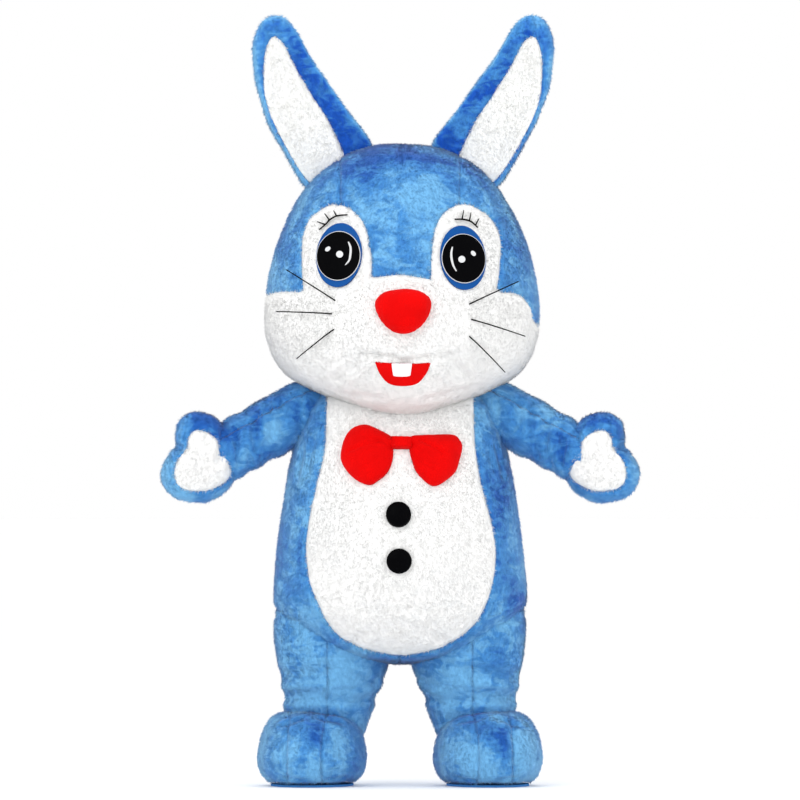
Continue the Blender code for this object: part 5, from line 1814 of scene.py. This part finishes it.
class Face(Sewn):
    """The nose, mouth, tooth, eyes, lashes and whiskers."""

    RIM = 0.0014
    MOUTH_LAYERS = table(Layer, (1.0, 0.0), (0.97, 0.0008), (0.5, 0.0012), (0.0, 0.0012))
    TOOTH_LAYERS = table(Layer, (1.0, 0.0030), (0.93, 0.0044), (0.5, 0.0046), (0.0, 0.0046))
    IRIS_LAYERS = table(Layer, (1.0, 0.0012), (0.97, 0.0024), (0.5, 0.0032), (0.0, 0.0034))
    RIM_LAYERS = table(Layer, (1.0, 0.0050), (0.99, 0.0054), (0.5, 0.0054), (0.0, 0.0054))
    PUPIL_LAYERS = table(Layer, (1.0, 0.0060), (0.97, 0.0072), (0.5, 0.0092), (0.0, 0.0098))
    GLINT_LAYERS = table(Layer, (1.0, 0.0100), (0.9, 0.0106), (0.0, 0.0108))
    # A catchlight's place from the pupil's middle, and its two half sizes and lean
    DOTS = {
        Side.RIGHT: ((0.006, 0.004, 0.0115, 0.0115, 0.0), (-0.033, 0.022, 0.0098, 0.0068, -0.7)),
        Side.LEFT: ((-0.008, -0.004, 0.0115, 0.0115, 0.0), (0.030, 0.016, 0.0098, 0.0068, 0.9)),
    }
    ARCS = {
        Side.RIGHT: (
            (0.034, 0.046), (0.041, 0.027), (0.041, 0.006), (0.037, -0.016), (0.024, -0.032),
        ),
        Side.LEFT: (
            (-0.038, 0.038), (-0.042, 0.018), (-0.041, -0.003), (-0.035, -0.026),
            (-0.025, -0.044),
        ),
    }
    ARC_RADIUS, ARC_LIFT = 0.0046, 0.0070
    LASHES = {
        Side.RIGHT: (
            ((-0.270, 1.873), (-0.250, 1.890), (-0.233, 1.907), (-0.210, 1.919), (-0.176, 1.922)),
            ((-0.250, 1.890), (-0.277, 1.900)),
            ((-0.236, 1.905), (-0.252, 1.927)),
            ((-0.212, 1.918), (-0.222, 1.937)),
        ),
        Side.LEFT: (
            ((0.183, 1.907), (0.210, 1.907), (0.237, 1.900), (0.260, 1.880)),
            ((0.207, 1.907), (0.213, 1.937)),
            ((0.232, 1.902), (0.237, 1.930)),
            ((0.252, 1.887), (0.264, 1.910)),
        ),
    }
    LASH_RADIUS, LASH_LIFT = 0.0030, 0.0020
    # Node, root, tip and how far the tip stands off the cheek
    WHISKERS = (
        ("whisker_left_1", (0.233, 1.623), (0.406, 1.707), 0.030),
        ("whisker_left_2", (0.240, 1.572), (0.424, 1.512), 0.040),
        ("whisker_left_3", (0.233, 1.515), (0.352, 1.392), 0.040),
        ("whisker_right_1", (-0.218, 1.635), (-0.390, 1.749), 0.030),
        ("whisker_right_2", (-0.230, 1.591), (-0.425, 1.599), 0.030),
        ("whisker_right_3", (-0.223, 1.538), (-0.350, 1.434), 0.030),
    )
    WHISKER_RADIUS, WHISKER_TAPER, WHISKER_BOW = 0.0024, 0.0006, 0.0015

    def build(self) -> None:
        """Builds every face piece."""
        nose = self.sew("nose_fleece", RED, smooth_run(NOSE_OUTLINE, 10, True), NOSE_PLACE,
                        NOSE_LAYERS, "nose", columns=80, rows=48, relief=self.dents)
        mouth = self.sew("mouth_felt", RED, cornered(MOUTH_OUTLINE, MOUTH_CORNERS), MOUTH_PLACE,
                         self.MOUTH_LAYERS, "mouth", columns=96, rows=20)
        self.wardrobe.declare(mouth, layers=2)
        tooth = self.sew("tooth_felt", FELT, cornered(TOOTH_OUTLINE, TOOTH_CORNERS), TOOTH_PLACE,
                         self.TOOTH_LAYERS, "tooth", base=-0.0014, columns=64, rows=16)
        self.wardrobe.declare(tooth, layers=2)
        for side in Side:
            self.eye(side)
            self.lashes(side)
        for whisker in self.WHISKERS:
            self.whisker(*whisker)

    @staticmethod
    def dents(flat: Array, scale: Array) -> Array:
        """Soft dents where the nose's fleece is drawn in."""
        away = np.hypot(flat[:, 0] + 0.03, (flat[:, 1] - 0.055) * 1.6)
        low = np.hypot(flat[:, 0] - 0.045, (flat[:, 1] + 0.035) * 1.4)
        return -0.005 * np.exp(-((away / 0.03) ** 2)) - 0.003 * np.exp(-((low / 0.02) ** 2))

    def eye(self, side: Side) -> None:
        """One eye: blue plate, white rim, black pupil and its painted catchlights."""
        word, lean = side.word, -side.value * EYE_LEAN
        iris = EYE_PLACE[side]
        centre = (iris[0], iris[1] - PUPIL_DROP)
        rim = ellipse(PUPIL_SIZE[0] + self.RIM, PUPIL_SIZE[1] + self.RIM, lean)
        self.sew(f"iris_{word}_plate", IRIS, ellipse(*IRIS_SIZE, lean), iris, self.IRIS_LAYERS,
                 f"iris_{word}")
        self.sew(f"pupil_{word}_rim", GLINT, rim, centre, self.RIM_LAYERS)
        self.sew(f"pupil_{word}_plate", BLACK, ellipse(*PUPIL_SIZE, lean), centre,
                 self.PUPIL_LAYERS, f"pupil_{word}", rows=32)
        for number, (across, up, *size) in enumerate(self.DOTS[side], 1):
            place = (centre[0] + across, centre[1] + up)
            self.sew(f"catchlight_{word}_{number}", GLINT, ellipse(*size), place,
                     self.GLINT_LAYERS, base=-0.006, columns=32, rows=12)
        line = smooth_run(np.array(self.ARCS[side]) + centre, 6, False)
        points, normals = self.form.on_surface(line)
        bulge = np.sin(np.linspace(0.35, math.pi - 0.35, len(line))) ** 0.6
        arc = tube(f"catchlight_{word}_arc", points + normals * self.ARC_LIFT,
                   self.ARC_RADIUS * bulge, 12)
        self.wardrobe.dress(arc, GLINT)

    def lashes(self, side: Side) -> None:
        """The stitched lashes over one eye, joined as one piece."""
        bars = []
        for number, marks in enumerate(self.LASHES[side]):
            line = smooth_run(marks, 6, False)
            points, normals = self.form.on_surface(line)
            ends = np.linspace(0.0, 1.0, len(line))
            radii = self.LASH_RADIUS * (1 - 0.5 * ends)
            if not number:
                radii = self.LASH_RADIUS - 0.001 * np.abs(ends - 0.5)
            bars.append(tube(f"lash_{number}", points + normals * self.LASH_LIFT, radii))
        tidy_select(*bars)
        bpy.ops.object.join()
        bars[0].name = f"lashes_{side.word}"
        self.wardrobe.dress(bars[0], NYLON)

    def whisker(self, node: str, root: Pair, tip: Pair, stand_off: float) -> None:
        """A tapered nylon whisker that leaves the cheek and stands off it."""
        shares = np.linspace(0, 1, 18)
        flat = np.array(root) + shares[:, None] * (np.array(tip) - root)
        points, normals = self.form.on_surface(flat)
        away = unit_rows(normals + (0, -1, 0))
        lifts = np.interp(shares, (0.0, 0.1, 1.0), (-0.004, 0.0036, stand_off))
        bow = self.WHISKER_BOW * np.sin(shares * math.pi)
        route = smooth_run((points + away * (lifts + bow)[:, None])[::3], 4, False)
        thinner = self.WHISKER_TAPER * np.linspace(0, 1, len(route)) ** 1.5
        rod = tube(node + "_rod", route, self.WHISKER_RADIUS - thinner)
        self.wardrobe.dress(rod, NYLON, node)


class Trim(Sewn):
    """The bow and the two buttons on the belly."""

    # The start, end and depth of each crease of a wing, from the bow's middle
    WING_CREASES = {
        Side.LEFT: (
            ((0.060, 0.005), (0.124, -0.040), 0.007),
            ((0.054, -0.059), (0.099, -0.094), 0.006),
            ((0.040, -0.010), (0.090, -0.075), 0.004),
        ),
        Side.RIGHT: (
            ((-0.040, 0.012), (-0.165, -0.036), 0.005),
            ((-0.038, -0.006), (-0.100, 0.006), 0.005),
            ((-0.050, -0.040), (-0.120, -0.090), 0.004),
        ),
    }
    CREASE_WIDTH = 0.0065
    # The knot's pleats: their height, and their turns to a metre across
    PLEAT, PLEAT_TURN = 0.0016, 380
    # Where a wing's fan of folds starts in its round
    FAN_START = {Side.LEFT: 0.7, Side.RIGHT: 2.1}

    def build(self) -> None:
        """Builds the bow's wings and knot, and the buttons."""
        for side in Side:
            node = f"bow_wing_{side.word}"
            outline = smooth_run(BOW_WING_OUTLINE[side], 10, True)
            wing = self.sew(node + "_fleece", RED, outline, BOW_PLACE, BOW_LAYERS, node,
                            columns=112, rows=72, relief=partial(self.gathers, side))
        outline = cornered(KNOT_OUTLINE, (0, 1, 2, 3))
        knot = self.sew("bow_knot_fleece", RED, outline, BOW_PLACE, KNOT_LAYERS, "bow_knot",
                        columns=64, rows=32, relief=self.pleats)
        disc = ellipse(BUTTON_RADIUS, BUTTON_RADIUS)
        for word, centre in BUTTON_PLACES.items():
            self.sew(f"button_{word}_dome", BLACK, disc, centre, BUTTON_LAYERS,
                     f"button_{word}", columns=72, rows=40, level=True)

    def pleats(self, flat: Array, scale: Array) -> Array:
        """The knot's upright pleats."""
        return self.PLEAT * np.cos(flat[:, 0] * self.PLEAT_TURN) * scale

    def gathers(self, side: Side, flat: Array, scale: Array) -> Array:
        """Folds that fan out from the knot and fade away, and a wing's own creases."""
        out = np.abs(flat[:, 0])
        slope = np.arctan2(flat[:, 1] + 0.02, out + 0.012)
        fade = np.exp(-((out - 0.03) / 0.085).clip(0) ** 2)
        fan = np.cos(slope * 9.5 + self.FAN_START[side])
        fold = np.exp(-(((flat[:, 1] + 0.30 * out + 0.015) / 0.012) ** 2))
        puff = 0.010 * np.exp(-(((out - 0.125) / 0.05) ** 2))
        creases = np.zeros(len(flat))
        for start, end, depth in self.WING_CREASES[side]:
            away = from_line(flat, np.array(start), np.subtract(end, start))
            creases -= depth * np.exp(-((away / self.CREASE_WIDTH) ** 2))
        relief = 0.0045 * fan * fade - 0.006 * fold * fade + puff * (1 - scale)
        return relief + creases - 0.005 * fade


class Zip(Sewn):
    """The back zip: tapes, teeth, slider and pull."""

    TAPE_EDGE = 0.018
    TAPE_DEPTH = -0.0088
    # The bare line between the tapes, from the middle
    TAPE_GAP = 0.0002
    TOOTH_STEP = 0.0040
    TOOTH_SIZE = (0.0034, 0.0024, 0.0024)
    TOOTH_DEPTH = -0.0068
    # How far a row of teeth lies off the middle, and how far from its ends it stops
    TOOTH_OFF, END_GAP = 0.0014, 0.003

    def build(self) -> None:
        """Builds the tapes and teeth, and finishes the slider and the pull."""
        for side in Side:
            self.tape(side)
        self.teeth()
        for node in ("zip_slider", "zip_pull"):
            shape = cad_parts[node]
            shape.data.materials.clear()
            shape.data.materials.append(METAL.material())

    def back(self, places: Array) -> tuple[Array, Array]:
        """Where places across and up meet the trunk's back, with level normals."""
        points, normals = self.form.on_surface(places, behind=True)
        normals[:, 0] = 0.0
        return points, unit_rows(normals)

    def tape(self, side: Side) -> None:
        """One woven tape, just under the plush."""
        node = f"zip_tape_{side.word}"
        strip = primitive(bpy.ops.mesh.primitive_grid_add, node + "_strip",
                          x_subdivisions=4, y_subdivisions=60, size=2.0)
        unit = point_array(strip.data)
        across = side.value * (self.TAPE_GAP + (unit[:, 0] + 1) / 2 * self.TAPE_EDGE)
        up = ZIP_BOTTOM + (unit[:, 1] + 1) / 2 * (ZIP_TOP - ZIP_BOTTOM)
        points, normals = self.back(np.column_stack([across, up]))
        placed = points + normals * self.TAPE_DEPTH + np.array(STANCE)
        strip.data.vertices.foreach_set("co", placed.ravel())
        tidy_select(strip)
        in_edit_mode(face_outwards)
        self.wardrobe.dress(strip, TAPE, node)
        self.wardrobe.declare(strip, wide=self.TAPE_EDGE)

    def teeth(self) -> None:
        """Both rows of teeth, modelled once and copied up the tapes."""
        tooth = primitive(bpy.ops.mesh.primitive_cube_add, "zip_chain_teeth", size=1.0)
        tooth.data.transform(Matrix.Diagonal((*self.TOOTH_SIZE, 1.0)))
        in_edit_mode(lambda: bpy.ops.mesh.bevel(offset=0.0005, segments=1, affect="EDGES"))
        unit, faces = point_array(tooth.data), triangle_array(tooth.data)
        low, high = ZIP_BOTTOM + self.END_GAP, ZIP_TOP - self.END_GAP
        heights = np.arange(low, high, self.TOOTH_STEP / 2)
        points, normals = self.back(np.column_stack([np.zeros(len(heights)), heights]))
        spots, corners = [], []
        for number, (point, normal) in enumerate(zip(points, normals)):
            sign = 1 if number % 2 else -1
            along = np.array((0.0, -normal[2], normal[1]))
            turned = unit[:, :1] * (1, 0, 0) + unit[:, 1:2] * normal + unit[:, 2:] * along
            middle = point + normal * self.TOOTH_DEPTH + (sign * self.TOOTH_OFF, 0, 0)
            corners.append(faces + len(spots) * len(unit))
            spots.append(turned + middle + np.array(STANCE))
        mesh = bpy.data.meshes.new(tooth.name)
        mesh.from_pydata(np.vstack(spots).tolist(), [], np.vstack(corners).tolist())
        tooth.data = mesh
        self.wardrobe.dress(tooth, METAL, "zip_chain")


class Studio:
    """The pale floor, the soft lights and the camera."""

    DISTANCE = 40.0
    VIEW_HEIGHT = 1.3017
    VIEW_WIDTH = 2.705
    FLOOR_SIZE = 180.0
    # Name, place, size and power of each soft light
    LIGHTS = (
        ("key_light", (-2.6, -4.6, 4.2), 4.0, 92.0),
        ("fill_light", (3.4, -4.2, 2.6), 4.0, 44.0),
        ("top_light", (0.0, -0.6, 5.2), 4.0, 24.0),
        ("back_light", (0.0, 4.0, 3.6), 3.0, 30.0),
    )
    # Where the lights face
    MIDDLE = Vector((0.0, 0.0, 1.2))

    def build(self) -> None:
        """Sets up the camera, the floor, the lights and the world."""
        self.camera()
        self.floor()
        for lamp in self.LIGHTS:
            self.light(*lamp)
        scene = bpy.context.scene
        world = bpy.data.worlds.new("studio")
        world.use_nodes = True
        shade = world.node_tree.nodes["Background"]
        shade.inputs["Color"].default_value = (1.0, 1.0, 1.0, 1.0)
        shade.inputs["Strength"].default_value = 1.0
        scene.world = world
        scene.view_settings.view_transform = "Standard"

    def camera(self) -> None:
        """A long lens straight in front, at half the rabbit's height."""
        data = bpy.data.cameras.new("camera")
        data.sensor_width = 36.0
        data.lens = data.sensor_width * self.DISTANCE / self.VIEW_WIDTH
        data.clip_end = 200.0
        camera = bpy.data.objects.new("camera", data)
        camera.location = (0.0, STANCE.y - self.DISTANCE, self.VIEW_HEIGHT)
        camera.rotation_euler = (math.pi / 2, 0.0, 0.0)
        bpy.context.collection.objects.link(camera)
        bpy.context.scene.camera = camera

    def floor(self) -> None:
        """A wide pale floor that meets the pale surroundings far off."""
        floor = primitive(bpy.ops.mesh.primitive_plane_add, "studio_floor", size=self.FLOOR_SIZE)
        paper = bpy.data.materials.new("studio_paper")
        Surface(paper).shade(
            Base_Color=(0.92, 0.92, 0.92), Roughness=0.9,
            Emission_Color=(1.0, 1.0, 1.0), Emission_Strength=0.08,
        )
        floor.data.materials.append(paper)

    def light(self, name: str, place: Triple, size: float, power: float) -> None:
        """A soft square light that faces the rabbit."""
        data = bpy.data.lights.new(name, "AREA")
        data.size = size
        data.energy = power
        lamp = bpy.data.objects.new(name, data)
        lamp.location = place
        towards = self.MIDDLE - Vector(place)
        lamp.rotation_euler = towards.to_track_quat("-Z", "Y").to_euler()
        bpy.context.collection.objects.link(lamp)


def main() -> None:
    """Builds the studio and every piece of the costume."""
    logging.basicConfig(level=logging.INFO, format="%(name)s %(message)s")
    Studio().build()
    for group in (nap_group, pile_group, weave_group):
        group()
    wardrobe = Wardrobe()
    trunk, head = Trunk(), Head()
    ears, arms, legs, feet = ([kind(side) for side in Side] for kind in (Ear, Arm, Leg, Foot))
    sleeves = [arm.sleeve for arm in arms]
    limbs = [leg.form for leg in legs]

    wardrobe.cover(trunk.form, [head.form, *sleeves, *limbs], trunk.panels(), BLUE)
    wardrobe.cover(head.form, [trunk.form, *sleeves], head.panels(), BLUE)
    forms = [trunk.form, head.form]
    for ear, arm, leg, foot in zip(ears, arms, legs, feet):
        wardrobe.cover(ear.form, [head.form], ear.panels(), SHADED_BLUE, CREAM)
        sleeve, mitt = arm.panels()
        wardrobe.cover(arm.sleeve, [trunk.form, arm.mitt], sleeve, BLUE)
        wardrobe.cover(arm.mitt, [arm.sleeve], mitt, BLUE)
        wardrobe.cover(leg.form, [trunk.form, foot.form], leg.panels(), LIT_BLUE)
        wardrobe.cover(foot.form, [leg.form], foot.panels(), BLUE)
        wardrobe.dress(foot.sole(), RUBBER, f"sole_{foot.side.word}")
        forms += [ear.form, arm.sleeve, arm.mitt, leg.form, foot.form]
    Face(head.form, wardrobe).build()
    Trim(trunk.form, wardrobe).build()
    Zip(trunk.form, wardrobe).build()
    for form in forms:
        bpy.data.objects.remove(form.ball)
    LOG.info("pile faces: %d", wardrobe.pile_faces)


if __name__ == "__main__":
    main()
